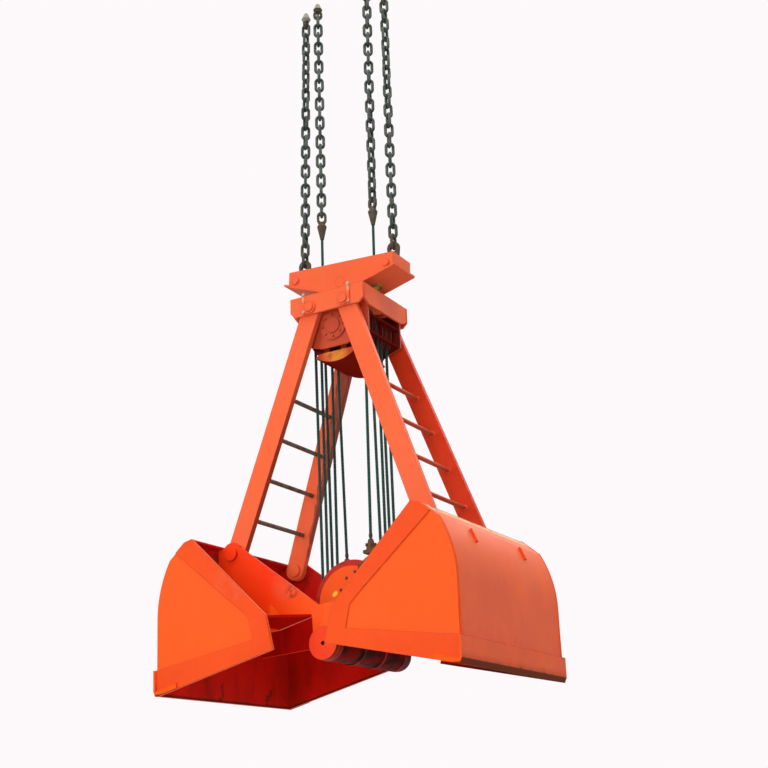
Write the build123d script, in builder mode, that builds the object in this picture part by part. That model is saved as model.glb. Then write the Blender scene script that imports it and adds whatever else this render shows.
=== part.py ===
from build123d import *
import os
from itertools import product
from math import cos, degrees, radians, sin, sqrt, tan

# Fits and gaps
run_gap = 0.05
seat_gap = 0.3
side_gap = 3.0

# Ropes and chains
rope_d = 28
wire_d = 30
link_pitch = 108
link_width = 98
link_play = 0.4
eye_play = 0.8
holding_twist = 4
closing_twist_left = 0
closing_twist_right = 3
holding_turn = 90
closing_turn_left = 119
closing_turn_right = 75
holding_links = 25
closing_links = 21

# Shells, drawn along the mouth edge (first number) and into the shell (second)
shell_width = 2000
shell_side_t = 20
shell_plate_t = 16
open_angle = 76.8
mouth_length = 1467
back_lean = 12.5
back_straight = 637
back_top = (1092, 1082)
ridge_height = 1180
ridge_inner = 822
ridge_outer = 904
inner_edge = 255
inner_height = 292

# Shell trim
doubler_t = 10
mouth_strip_inner = 124
mouth_strip_outer = 212
edge_band = 167
band_knee_height = 324
band_shoulder = (471, 400)
band_top = 1012
lip_height = 215
lip_t = 20
lip_bevel = 45
cutter_length = 225
cutter_height = 42
cutter_t = 18
stiffener_length = 120
stiffener_height = 22
stiffener_t = 24
stiffener_margin = 1.5

# Ribs, hinge ears and arm bosses
rib_t = 30
left_rib_y = 545
ear_pitch = 40
ear_radius = 140
hinge_cap_radius = 135
hinge_cap_t = 40
grease_hole_d = 36
hinge_pin_d = 140
bush_wall = 18
rib_stop_foot = (-66, 216)
rib_stop_top = (-91, 323)
rib_top_inner = (12, 351)
rib_top_outer = (682, 1160)
rib_crown = 870
rib_waist = (905, 1010)
rib_tail_top = 620
rib_tail_foot = 450
rib_tie_outer = 430
rib_tie_inner = 90
tie_t = 20
gusset_height = 140
gusset_width = 150
gusset_t = 16
arm_boss_radius = 85
boss_cap_radius = 62
boss_cap_t = 22

# Arms
arm_pin = (742, 1084)
arm_pin_d = 90
arm_length = 2350
arm_width = 188
arm_t = 63
arm_foot_y = 480
arm_head_y = 360
arm_fillet = 8
rung_count = 4
rung_d = 40
rung_first = 340
rung_pitch = 384
eye_head_radius = 62
eye_head_t = 24

# Head
head_pin_x = 180
head_half = 390
head_height = 192
head_pin_above_foot = 70
head_plate_t = 20
head_plate_y = 408
head_chamfer = 47
end_chamfer = 100
bearing_plate_y = 295
bearing_plate_t = 20
bearing_foot = 205
bearing_foot_half = 130
bearing_shoulder = 125
hanger_y = 44
hanger_t = 22
hanger_radius = 85
hanger_neck = 125
lock_bar_x = 240
lock_bar_width = 24
lock_bar_foot = 8
lock_bar_rise = 26
lock_plate_radius = 64
lock_plate_t = 14
pin_head_t = 14

# Upper sheaves
upper_axle_drop = 185
upper_pitch_r = 267
upper_outer_r = 315
upper_inner_y = 95
upper_outer_y = 195
axle_d = 120
sheave_width = 70
sheave_wall = 5
groove_play = 3
hub_radius = 95
web_t = 24
rim_t = 26
sheave_holes = 6
sheave_hole_d = 64
cover_radius = 138
cover_t = 14
cover_boss_radius = 75
cover_boss_t = 10
cover_bolts = 8
bolt_d = 24
bolt_head_t = 12
guard_radius = 330
guard_t = 10
guard_half_angle = 36
strap_x = 90
strap_width = 60
strap_t = 10
strap_lap = 30
guard_end_drop = 240
bar_d = 28
bar_radius = 352
bar_angles = (-18, 9)

# Lower block
lower_axle_rise = 405
lower_pitch_r = 300
lower_outer_r = 360
lower_inner_y = 41.5
lower_outer_y = 124.5
block_plate_y = 175
block_plate_t = 20
block_top_radius = 305
block_hub_radius = 145
hinge_tube_d = 270
hinge_tube_wall = 16
axle_nut_radius = 88
axle_nut_t = 24
anchor_y = 300
anchor_bar_t = 26
anchor_bar_inner = 110
anchor_half = 52
anchor_foot = 60
anchor_bar_outer = 285
anchor_step = 90
anchor_neck_radius = 22
anchor_rise = 380
anchor_shelf_t = 30
anchor_cone_height = 95
anchor_cone_radius = 46
stud_d = 22
stud_length = 100
stud_count = 3

# Balance beam, drawn from its pivot
beam_tilt = 3.6
pivot_above_pins = 300
beam_half = 572
beam_y = 165
beam_wall = 18
beam_top = 197
beam_end_foot = 62
beam_foot = 78
beam_foot_half = 150
flange_overhang = 32
flange_t = 20
pivot_pin_d = 100
connector_x = 495
connector_z = 102
connector_pin_d = 44
connector_foot_radius = 40
connector_width = 126
connector_t = 28
connector_rise = 222
connector_crown = 44
connector_pin_head = 38
connector_head_t = 16
connector_slot = 60
beam_slot_play = 12
rope_hole_d = 92
rope_in_x = 285
guide_bore = 60
guide_ring_radius = 68
guide_ring_play = 6
guide_ring_t = 14
guide_drop = 60
guide_top = 20
guide_foot_radius = 36
hanger_play = 12

# Rope sockets and the lean of the lines above the beam
closing_rise = 572
socket_eye_t = 26
socket_eye_radius = 48
socket_slot = 46
socket_waist_radius = 34
socket_shoulder_radius = 47
socket_tip_radius = 18
socket_flare = 24
low_stretch = 36
low_waist = 20
low_cone = 136
low_bore = 120
top_stretch = 6
top_waist = 4
top_cone = 68
top_bore = 66
holding_lean_left = 1.85
holding_lean_right = 0.6
closing_lean_left = 0.7
closing_lean_right = 0.95

# Derived sizes
rope_r = rope_d / 2
wire_r = wire_d / 2
link_step = link_pitch - link_play
link_end = link_pitch / 2 + wire_r
link_arc = (link_width - wire_d) / 2
mouth_dip = radians(90 - open_angle)
tilt = radians(beam_tilt)
axle_r = axle_d / 2
hinge_r = hinge_pin_d / 2
arm_pin_r = arm_pin_d / 2
pin_x = arm_pin[0] * cos(mouth_dip) + arm_pin[1] * sin(mouth_dip)
pin_z = arm_pin[1] * cos(mouth_dip) - arm_pin[0] * sin(mouth_dip)
open_drop = pin_z + sqrt(arm_length**2 - (pin_x - head_pin_x) ** 2)
collar_start = socket_slot / 2 + link_play + wire_r / 2
low_length = low_stretch + collar_start + low_waist + socket_flare + low_cone
top_length = top_stretch + collar_start + top_waist + socket_flare + top_cone
connector_eye = connector_rise - connector_slot / 2
crown_r = connector_width / 2
crown_centre = connector_rise + connector_crown - crown_r
crown_growth = (crown_r - connector_foot_radius) / crown_centre
connector_neck = connector_foot_radius + crown_growth * (beam_top + beam_wall - connector_z)
link_mouth = link_arc - wire_r
connector_dip = link_mouth - sqrt(link_mouth**2 - (connector_t / 2) ** 2)
eye_dip = link_mouth - sqrt(link_mouth**2 - (socket_eye_t / 2) ** 2)
eye_slack = socket_slot / 2 - wire_r - eye_play - eye_dip
holding_first = connector_rise - wire_r - eye_play - connector_dip + link_end
holding_eye = holding_first + (holding_links - 1) * link_step + link_end + eye_slack
closing_low_eye = closing_rise + low_length
closing_first = closing_low_eye + eye_slack + link_end
closing_eye = closing_first + (closing_links - 1) * link_step + link_end + eye_slack
suspension_drop = connector_z + holding_eye + top_length

# Heights in the shared frame, from the suspension down
pivot_z = -suspension_drop
head_pin_z = pivot_z - pivot_above_pins
head_foot_z = head_pin_z - head_pin_above_foot
head_top_z = head_foot_z + head_height
upper_axle_z = head_pin_z - upper_axle_drop
hinge_z = head_pin_z - open_drop
lower_axle_z = hinge_z + lower_axle_rise
anchor_z = lower_axle_z + anchor_rise
anchor_x = lower_pitch_r
right_rib_y = left_rib_y + ear_pitch

# Shell corners, along the mouth edge and into the shell
lean = radians(back_lean)
up_back = Vector(-sin(lean), cos(lean))
out_back = Vector(cos(lean), sin(lean))
lip = Vector(mouth_length, 0)
back_knee = lip + up_back * back_straight
back_crown = Vector(*back_top)
ridge_end = Vector(ridge_outer, ridge_height)
ridge_start = Vector(ridge_inner, ridge_height)
edge_top = Vector(inner_edge, inner_height)
edge_foot = Vector(inner_edge, 0)
crown_fall = (ridge_height - back_top[1]) / (back_top[0] - ridge_outer)
band_crown = Vector(band_top, ridge_height - (band_top - ridge_outer) * crown_fall)
band_foot = Vector(inner_edge + edge_band, mouth_strip_inner)
band_knee = Vector(inner_edge + edge_band, band_knee_height)
cutter_top = lip + up_back * cutter_height
cutter_back = Vector(cutter_length, 0)
strip_inner = Vector(inner_edge, mouth_strip_inner)
round_chord = back_crown - back_knee
round_half_turn = radians(up_back.get_angle(round_chord))
round_radius = round_chord.length / (2 * sin(round_half_turn))
round_centre = back_knee - out_back * round_radius
round_end = back_lean + degrees(2 * round_half_turn)
stiffener_sweep = degrees(stiffener_length / round_radius)
stiffener_start = round_end - stiffener_margin - stiffener_sweep
strip_outer = lip + up_back * (mouth_strip_outer / cos(lean))


def shell_plane(side, y, into=0):
    """Upright plane of a shell: x along the mouth edge, y into the shell."""
    along = Vector(side * cos(mouth_dip), 0, -sin(mouth_dip))
    inward = Vector(side * sin(mouth_dip), 0, cos(mouth_dip))
    return Plane(Vector(0, y, hinge_z) + inward * into, x_dir=along, z_dir=Vector(0, -side, 0))


def shell_floor(side, into):
    """Plane parallel to the mouth of a shell, x along the mouth edge."""
    upright = shell_plane(side, 0, into)
    return Plane(upright.origin, x_dir=upright.x_dir, z_dir=upright.y_dir)


def upright_plane(y, x=0, z=0):
    """Upright plane across the width, x to the right and y up."""
    return Plane((x, y, z), x_dir=(1, 0, 0), z_dir=(0, -1, 0))


def beam_plane(y):
    """Upright plane of the tilted beam, centred on its pivot."""
    return Plane((0, y, pivot_z), x_dir=(cos(tilt), 0, -sin(tilt)), z_dir=(0, -1, 0))


def beam_point(along, rise):
    """Point of the tilted beam in the shared frame, on the middle plane."""
    return Vector(along * cos(tilt) + rise * sin(tilt), 0, pivot_z - along * sin(tilt) + rise * cos(tilt))


def line_plane(start, lean_angle, rise=0):
    """Level plane of a leaning line, at a rise along it."""
    along = Vector(sin(radians(lean_angle)), 0, cos(radians(lean_angle)))
    across = Vector(cos(radians(lean_angle)), 0, -sin(radians(lean_angle)))
    return Plane(start + along * rise, x_dir=across, z_dir=along)


def turned(level, turn):
    """Level plane of a line, turned about the line."""
    return Plane(level.location * Location((0, 0, 0), (0, 0, turn)))


def ring_plane(y, z):
    """Plane for a turned profile: x along the axle, y outward."""
    return Plane((0, y, z), x_dir=(0, 1, 0), z_dir=(1, 0, 0))


def link_turn(kind, name, i):
    """Turn of a link about its chain."""
    start, twist = chain_turns[kind, name]
    return start + i * (90 + twist)


def save(piece, name):
    """Names a piece and writes its file."""
    piece.part.label = name
    export_step(piece.part, f"parts/{name}.step")


os.makedirs("parts", exist_ok=True)
both_sides = (-1, 1)
stand = (Align.CENTER, Align.CENTER, Align.MIN)
hang = (Align.CENTER, Align.CENTER, Align.MAX)
sides = (("left", -1), ("right", 1))
rib_lines = {"left": left_rib_y, "right": right_rib_y}

# Shells
inner_width = shell_width - 2 * shell_side_t
side_face = shell_width / 2
for name, side in sides:
    # Side plates
    with BuildPart() as shell_sides_part:
        for s in both_sides:
            with BuildSketch(shell_plane(side, s * (side_face - shell_side_t / 2))):
                with BuildLine():
                    Polyline(edge_foot, lip, back_knee)
                    TangentArc(back_knee, back_crown, tangent=up_back)
                    Polyline(back_crown, ridge_end, ridge_start, edge_top, edge_foot)
                make_face()
            extrude(amount=shell_side_t / 2, both=True)
    save(shell_sides_part, f"shell_{name}_sides")

    # Folded back plate from the ridge to the lip, with stiffeners in line with the arms
    with BuildPart() as shell_back:
        with BuildSketch(shell_plane(side, 0)):
            with BuildLine():
                Polyline(ridge_start, ridge_end, back_crown)
                TangentArc(back_knee, back_crown, tangent=up_back)
                Line(back_knee, lip)
                offset(amount=shell_plate_t, side=Side.RIGHT)
            make_face()
            with Locations(lip):
                Rectangle(lip_height, shell_plate_t, align=(Align.CENTER, Align.MAX), mode=Mode.SUBTRACT)
        extrude(amount=inner_width / 2, both=True)
        for s in both_sides:
            with BuildSketch(shell_plane(side, s * arm_foot_y)):
                with BuildLine():
                    low = CenterArc(round_centre, round_radius, stiffener_start, stiffener_sweep)
                    high_radius = round_radius + stiffener_height
                    high = CenterArc(round_centre, high_radius, stiffener_start, stiffener_sweep)
                    Line(low @ 0, high @ 0)
                    Line(low @ 1, high @ 1)
                make_face()
            extrude(amount=stiffener_t / 2, both=True)
    save(shell_back, f"shell_{name}_back")

    # Ribs with the hinge ears, the opening stops and the bosses facing the arms' eyes
    rib_y = rib_lines[name]
    rib_face = rib_y + rib_t / 2
    tail_top = lip + up_back * rib_tail_top - out_back * shell_plate_t
    tail_foot = lip + up_back * rib_tail_foot - out_back * shell_plate_t
    bush_r = hinge_r + bush_wall
    boss_face = arm_foot_y + arm_t / 2 + side_gap
    boss_run = rib_y - rib_t / 2 - boss_face
    with BuildPart() as ribs:
        for s in both_sides:
            with BuildSketch(shell_plane(side, s * rib_y)):
                Circle(ear_radius)
                with Locations(arm_pin):
                    Circle(arm_boss_radius + bush_wall)
                with BuildLine():
                    Polyline(
                        (-ear_radius, 0),
                        rib_stop_foot,
                        rib_stop_top,
                        rib_top_inner,
                        rib_top_outer,
                        (rib_crown, ridge_height - shell_plate_t),
                        rib_waist,
                        tail_top,
                        tail_foot,
                        (rib_tie_outer, inner_height - tie_t),
                        (rib_tie_inner, inner_height - tie_t),
                        (ear_radius, 0),
                        close=True,
                    )
                make_face()
                Circle(bush_r + run_gap, mode=Mode.SUBTRACT)
            extrude(amount=rib_t / 2, both=True)
            with BuildSketch(shell_plane(side, s * (boss_face + boss_run / 2))):
                with Locations(arm_pin):
                    Circle(arm_boss_radius)
            extrude(amount=boss_run / 2, both=True)
            with BuildSketch(shell_plane(side, s * (rib_face + boss_cap_t / 2))):
                with Locations(arm_pin):
                    Circle(boss_cap_radius)
            extrude(amount=boss_cap_t / 2, both=True)
    save(ribs, f"shell_{name}_ribs")

    # Hinge bushes
    with BuildPart() as bushes:
        for s in both_sides:
            with BuildSketch(upright_plane(s * rib_y, z=hinge_z)):
                Circle(bush_r)
                Circle(hinge_r + run_gap, mode=Mode.SUBTRACT)
            extrude(amount=rib_t / 2, both=True)
    save(bushes, f"shell_{name}_bushes")

    # Tie plates from the ribs to the side plates, each with a gusset
    with BuildPart() as ties:
        for s in both_sides:
            with BuildSketch(shell_floor(side, inner_height)):
                with BuildLine():
                    Polyline(
                        (inner_edge, s * inner_width / 2),
                        (rib_tie_outer, s * inner_width / 2),
                        (rib_tie_outer, s * rib_face),
                        (rib_tie_inner, s * rib_face),
                        close=True,
                    )
                make_face()
            extrude(amount=-tie_t)
            with BuildSketch(shell_plane(side, s * (rib_face + inner_width / 2) / 2, inner_height)):
                with BuildLine():
                    Polyline(
                        (inner_edge, 0),
                        (inner_edge + gusset_width, 0),
                        (inner_edge + gusset_width / 2, gusset_height),
                        close=True,
                    )
                make_face()
            extrude(amount=gusset_t / 2, both=True)
    save(ties, f"shell_{name}_ties")

    # Doubler plates along the top edge and strips along the mouth edge
    with BuildPart() as doublers:
        for s in both_sides:
            with BuildSketch(shell_plane(side, s * (side_face + doubler_t / 2))):
                with BuildLine():
                    Polyline(strip_inner, band_foot, band_knee, band_shoulder, band_crown)
                    Polyline(band_crown, ridge_end, ridge_start, edge_top, strip_inner)
                make_face()
            with BuildSketch(shell_plane(side, s * (side_face + doubler_t / 2))):
                with BuildLine():
                    Polyline(edge_foot, lip, strip_outer, strip_inner, close=True)
                make_face()
            extrude(amount=doubler_t / 2, both=True)
    save(doublers, f"shell_{name}_doublers")

    # Cutting lip across the outside of the back plate, with corner cutters
    with BuildPart() as lip_plate:
        with BuildSketch(shell_plane(side, 0)):
            with BuildLine():
                Polyline(
                    lip,
                    lip + up_back * lip_bevel + out_back * lip_t,
                    lip + up_back * lip_height + out_back * lip_t,
                    lip + up_back * lip_height,
                    close=True,
                )
            make_face()
        extrude(amount=side_face + doubler_t + cutter_t, both=True)
        for s in both_sides:
            with BuildSketch(shell_plane(side, s * (side_face + doubler_t + cutter_t / 2))):
                with BuildLine():
                    Polyline(lip, cutter_top, cutter_top - cutter_back, lip - cutter_back, close=True)
                make_face()
            extrude(amount=cutter_t / 2, both=True)
    save(lip_plate, f"shell_{name}_lip")


# Hinge caps over the stub pins, outside the right shell's ears
with BuildPart() as hinge_caps:
    for s in both_sides:
        with BuildSketch(upright_plane(s * (right_rib_y + rib_t / 2 + hinge_cap_t / 2), z=hinge_z)):
            Circle(hinge_cap_radius)
            Circle(grease_hole_d / 2, mode=Mode.SUBTRACT)
        extrude(amount=hinge_cap_t / 2, both=True)
save(hinge_caps, "shell_right_hinge_caps")

# Arms
for name, side in sides:
    pair = []
    for place, s in (("near", -1), ("far", 1)):
        foot = Vector(side * pin_x, s * arm_foot_y, hinge_z + pin_z)
        crown = Vector(side * head_pin_x, s * arm_head_y, head_pin_z)
        axis = (crown - foot).normalized()
        across = Vector(0, 1, 0).cross(axis).normalized()
        with BuildPart() as arm:
            with BuildSketch(Plane(foot, x_dir=across, z_dir=axis)):
                RectangleRounded(arm_width, arm_t, arm_fillet)
            extrude(amount=(crown - foot).length)
            for end in (foot, crown):
                with BuildSketch(upright_plane(end.Y, end.X, end.Z)):
                    Circle(arm_width / 2)
                extrude(amount=arm_t / 2, both=True)
            for end in (foot, crown):
                with BuildSketch(upright_plane(end.Y, end.X, end.Z)):
                    Circle(arm_pin_r + run_gap)
                extrude(amount=arm_t, both=True, mode=Mode.SUBTRACT)
        save(arm, f"arm_{name}_{place}")
        pair.append(arm.part)

    # Rungs between the two arms
    climb = Vector(axis.X, 0, axis.Z)
    spread = arm_head_y - arm_foot_y
    with BuildPart() as rungs:
        for i in range(rung_count):
            reach = rung_first + i * rung_pitch
            place = Vector(side * pin_x, 0, hinge_z + pin_z) + climb * reach
            with BuildSketch(upright_plane(0, place.X, place.Z)):
                Circle(rung_d / 2)
            extrude(amount=arm_foot_y + spread * reach / arm_length, both=True)
        add(pair, mode=Mode.SUBTRACT)
    save(rungs, f"arm_{name}_rungs")

    # Pins in the lower eyes, headed on the inner side
    with BuildPart() as eye_pins:
        for s in both_sides:
            with BuildSketch(upright_plane(s * arm_foot_y, side * pin_x, hinge_z + pin_z)):
                Circle(arm_pin_r)
            extrude(amount=arm_t / 2, both=True)
            head_y = arm_foot_y - arm_t / 2 - eye_head_t / 2
            with BuildSketch(upright_plane(s * head_y, side * pin_x, hinge_z + pin_z)):
                Circle(eye_head_radius)
            extrude(amount=eye_head_t / 2, both=True)
        add(pair, mode=Mode.SUBTRACT)
    save(eye_pins, f"arm_{name}_eye_pins")

# Head side plates
head_face = head_plate_y + head_plate_t / 2
head_inner = head_plate_y - head_plate_t / 2
end_inner = head_half - head_plate_t
bearing_inner = bearing_plate_y - bearing_plate_t / 2
bearing_face = bearing_plate_y + bearing_plate_t / 2
pin_spots = [(-head_pin_x, head_pin_z), (head_pin_x, head_pin_z)]
with BuildPart() as head_sides:
    for s in both_sides:
        with BuildSketch(upright_plane(s * head_plate_y)):
            with BuildLine():
                Polyline(
                    (-head_half, head_top_z),
                    (head_half, head_top_z),
                    (head_half, head_foot_z + head_chamfer),
                    (head_half - head_chamfer, head_foot_z),
                    (head_chamfer - head_half, head_foot_z),
                    (-head_half, head_foot_z + head_chamfer),
                    close=True,
                )
            make_face()
            with Locations(pin_spots):
                Circle(arm_pin_r + run_gap, mode=Mode.SUBTRACT)
        extrude(amount=head_plate_t / 2, both=True)
save(head_sides, "head_sides")

# Head end plates
with BuildPart() as head_ends:
    for s in both_sides:
        with BuildSketch(Plane((s * (head_half - head_plate_t / 2), 0, 0), x_dir=(0, 1, 0), z_dir=(1, 0, 0))):
            with BuildLine():
                Polyline(
                    (-head_inner, head_top_z),
                    (head_inner, head_top_z),
                    (head_inner, head_foot_z + head_chamfer),
                    (head_inner - end_chamfer, head_foot_z),
                    (end_chamfer - head_inner, head_foot_z),
                    (-head_inner, head_foot_z + head_chamfer),
                    close=True,
                )
            make_face()
        extrude(amount=head_plate_t / 2, both=True)
save(head_ends, "head_ends")

# Hanger plates up to the beam pivot
with BuildPart() as hangers:
    for s in both_sides:
        with BuildSketch(upright_plane(s * hanger_y)):
            with BuildLine():
                Polyline(
                    (-end_inner, head_foot_z),
                    (end_inner, head_foot_z),
                    (end_inner, head_top_z),
                    (hanger_neck, head_top_z),
                    (hanger_radius, pivot_z),
                    (-hanger_radius, pivot_z),
                    (-hanger_neck, head_top_z),
                    (-end_inner, head_top_z),
                    close=True,
                )
            make_face()
            with Locations((0, pivot_z)):
                Circle(hanger_radius)
                Circle(pivot_pin_d / 2 + run_gap, mode=Mode.SUBTRACT)
        extrude(amount=hanger_t / 2, both=True)
save(hangers, "head_hangers")

# Bearing plates for the upper axle
with BuildPart() as bearing_plates:
    for s in both_sides:
        with BuildSketch(upright_plane(s * bearing_plate_y)):
            with BuildLine():
                Polyline(
                    (-end_inner, head_top_z),
                    (end_inner, head_top_z),
                    (end_inner, upper_axle_z - bearing_shoulder),
                    (bearing_foot_half, upper_axle_z - bearing_foot),
                    (-bearing_foot_half, upper_axle_z - bearing_foot),
                    (-end_inner, upper_axle_z - bearing_shoulder),
                    close=True,
                )
            make_face()
            with Locations((0, upper_axle_z)):
                Circle(axle_r + run_gap, mode=Mode.SUBTRACT)
            with Locations(pin_spots):
                Circle(arm_pin_r + run_gap, mode=Mode.SUBTRACT)
        extrude(amount=bearing_plate_t / 2, both=True)
save(bearing_plates, "bearing_plates")

# Upper axle
with BuildPart() as upper_axle:
    with BuildSketch(upright_plane(0, z=upper_axle_z)):
        Circle(axle_r)
    extrude(amount=bearing_face, both=True)
save(upper_axle, "upper_axle")

# Bearing covers and their bolts
with BuildPart() as covers:
    for s in both_sides:
        with BuildSketch(upright_plane(s * (bearing_face + cover_t / 2), z=upper_axle_z)):
            Circle(cover_radius)
        extrude(amount=cover_t / 2, both=True)
        with BuildSketch(upright_plane(s * (bearing_face + cover_t + cover_boss_t / 2), z=upper_axle_z)):
            Circle(cover_boss_radius)
        extrude(amount=cover_boss_t / 2, both=True)
        with BuildSketch(upright_plane(s * (bearing_face + cover_t + bolt_head_t / 2), z=upper_axle_z)):
            with PolarLocations((cover_radius + cover_boss_radius) / 2, cover_bolts):
                RegularPolygon(bolt_d / 2, side_count=6)
        extrude(amount=bolt_head_t / 2, both=True)
save(covers, "bearing_covers")

# Pins for the arms' upper eyes, with lock plates outside
pin_end = head_face + lock_plate_t + pin_head_t
lock_bar_low = lock_bar_foot - head_pin_above_foot
lock_bar_height = head_height - lock_bar_foot + lock_bar_rise
with BuildPart() as top_pins:
    for s in both_sides:
        with BuildSketch(upright_plane(s * (bearing_inner + pin_end) / 2)):
            with Locations(pin_spots):
                Circle(arm_pin_r)
        extrude(amount=(pin_end - bearing_inner) / 2, both=True)
        with BuildSketch(upright_plane(s * (head_face + lock_plate_t / 2), z=head_pin_z)):
            with Locations((-lock_bar_x, lock_bar_low), (lock_bar_x, lock_bar_low)):
                Rectangle(lock_bar_width, lock_bar_height, align=(Align.CENTER, Align.MIN))
            with Locations((-head_pin_x, 0), (head_pin_x, 0)):
                Circle(lock_plate_radius)
        extrude(amount=lock_plate_t / 2, both=True)
save(top_pins, "arm_top_pins")

# Curved guard under the upper sheaves with closed ends, and round bars at its edge and beside the sheaves
edge_turn = -90 - guard_half_angle
guard_end_half = guard_end_drop * tan(radians(guard_half_angle))
edge_spot = Vector(guard_radius + guard_t / 2, 0).rotate(Axis.Z, edge_turn)
with BuildPart() as guard:
    with BuildSketch(upright_plane(0, z=upper_axle_z)):
        with BuildLine():
            inside = CenterArc((0, 0), guard_radius, edge_turn, 2 * guard_half_angle)
            outside = CenterArc((0, 0), guard_radius + guard_t, edge_turn, 2 * guard_half_angle)
            Line(inside @ 0, outside @ 0)
            Line(inside @ 1, outside @ 1)
        make_face()
    extrude(amount=bearing_inner, both=True)
    for s in both_sides:
        with BuildSketch(upright_plane(s * (bearing_inner - strap_t / 2), z=upper_axle_z)):
            with Locations((-strap_x, strap_lap - bearing_foot), (strap_x, strap_lap - bearing_foot)):
                Rectangle(strap_width, guard_radius, align=(Align.CENTER, Align.MAX))
            Circle(guard_radius + guard_t / 2, mode=Mode.INTERSECT)
            with BuildLine():
                rim = CenterArc((0, 0), guard_radius + guard_t / 2, edge_turn, 2 * guard_half_angle)
                Polyline(rim @ 1, (guard_end_half, -guard_end_drop), (-guard_end_half, -guard_end_drop), rim @ 0)
            make_face()
        extrude(amount=strap_t / 2, both=True)
    with BuildSketch(upright_plane(0, z=upper_axle_z)):
        with Locations(*[Vector(bar_radius, 0).rotate(Axis.Z, turn) for turn in bar_angles], edge_spot):
            Circle(bar_d / 2)
    extrude(amount=bearing_inner, both=True)
save(guard, "sheave_guard")

# Sheaves
upper_rows = (-upper_outer_y, -upper_inner_y, upper_inner_y, upper_outer_y)
lower_rows = (-lower_outer_y, -lower_inner_y, lower_inner_y, lower_outer_y)
blocks = (
    ("upper", upper_rows, upper_axle_z, upper_pitch_r, upper_outer_r),
    ("lower", lower_rows, lower_axle_z, lower_pitch_r, lower_outer_r),
)
half = sheave_width / 2
groove_r = rope_r + groove_play
bore_r = axle_r + run_gap
for name, rows, axle_z, pitch_r, outer_r in blocks:
    groove_foot = pitch_r - rope_r - seat_gap
    groove_mid = groove_foot + groove_r
    rim_r = groove_foot - rim_t
    for number, y in enumerate(rows, 1):
        with BuildPart() as sheave:
            with BuildSketch(ring_plane(y, axle_z)):
                with BuildLine():
                    Polyline(
                        (groove_r, groove_mid),
                        (half - sheave_wall, outer_r),
                        (half, outer_r),
                        (half, rim_r),
                        (web_t / 2, rim_r),
                        (web_t / 2, hub_radius),
                        (half, hub_radius),
                        (half, bore_r),
                        (-half, bore_r),
                        (-half, hub_radius),
                        (-web_t / 2, hub_radius),
                        (-web_t / 2, rim_r),
                        (-half, rim_r),
                        (-half, outer_r),
                        (sheave_wall - half, outer_r),
                        (-groove_r, groove_mid),
                    )
                    ThreePointArc((-groove_r, groove_mid), (0, groove_foot), (groove_r, groove_mid))
                make_face()
            revolve(axis=Axis((0, y, axle_z), (0, 1, 0)))
            with BuildSketch(upright_plane(y, z=axle_z)):
                with PolarLocations((hub_radius + rim_r) / 2, sheave_holes):
                    Circle(sheave_hole_d / 2)
            extrude(amount=half, both=True, mode=Mode.SUBTRACT)
        save(sheave, f"{name}_sheave_{number}")

# Half turns of rope over the upper sheaves and under the lower ones
turns = (
    ("upper", upper_rows, upper_axle_z, upper_pitch_r, -1),
    ("lower", lower_rows, lower_axle_z, lower_pitch_r, 1),
)
for name, rows, axle_z, pitch_r, way in turns:
    with BuildPart() as wraps:
        for y in rows:
            with BuildSketch(Plane((pitch_r, y, axle_z))):
                Circle(rope_r)
            revolve(axis=Axis((0, y, axle_z), (0, way, 0)), revolution_arc=180)
    save(wraps, f"{name}_rope_wraps")

# Runs of rope between the blocks, one rope each way about the middle
low_end = lower_axle_z + seat_gap
leads, falls, tails = [], [], []
for s in both_sides:
    near_low = Vector(-s * lower_pitch_r, s * lower_inner_y, low_end)
    leads.append((Vector(-s * rope_in_x, 0, pivot_z), near_low))
    for across, high_y, low_y in (
        (s, upper_inner_y, lower_inner_y),
        (-s, upper_inner_y, lower_outer_y),
        (s, upper_outer_y, lower_outer_y),
    ):
        high = Vector(across * upper_pitch_r, s * high_y, upper_axle_z)
        falls.append((high, Vector(across * lower_pitch_r, s * low_y, low_end)))
    high = Vector(-s * upper_pitch_r, s * upper_outer_y, upper_axle_z)
    tails.append((high, Vector(-s * anchor_x, s * anchor_y, anchor_z + anchor_cone_height + seat_gap)))

for name, runs in (("rope_leads", leads), ("rope_falls", falls), ("rope_tails", tails)):
    with BuildPart() as ropes:
        for high, low in runs:
            with BuildSketch(Plane(low)):
                Circle(rope_r)
            extrude(amount=(high - low).length, dir=(high - low).normalized())
    save(ropes, name)

# Lower block side plates
block_face = block_plate_y + block_plate_t / 2
block_inner = block_plate_y - block_plate_t / 2
with BuildPart() as block_sides:
    for s in both_sides:
        with BuildSketch(upright_plane(s * block_plate_y, z=hinge_z)):
            Circle(block_hub_radius)
            with Locations((0, lower_axle_rise)):
                Circle(block_top_radius)
            make_hull()
            Circle(hinge_r + run_gap, mode=Mode.SUBTRACT)
            with Locations((0, lower_axle_rise)):
                Circle(bore_r, mode=Mode.SUBTRACT)
        extrude(amount=block_plate_t / 2, both=True)
save(block_sides, "block_sides")

# Lower axle with its end caps
with BuildPart() as lower_axle:
    with BuildSketch(upright_plane(0, z=lower_axle_z)):
        Circle(axle_r)
    extrude(amount=block_face, both=True)
    for s in both_sides:
        with BuildSketch(upright_plane(s * (block_face + axle_nut_t / 2), z=lower_axle_z)):
            Circle(axle_nut_radius)
        extrude(amount=axle_nut_t / 2, both=True)
save(lower_axle, "lower_axle")

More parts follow.
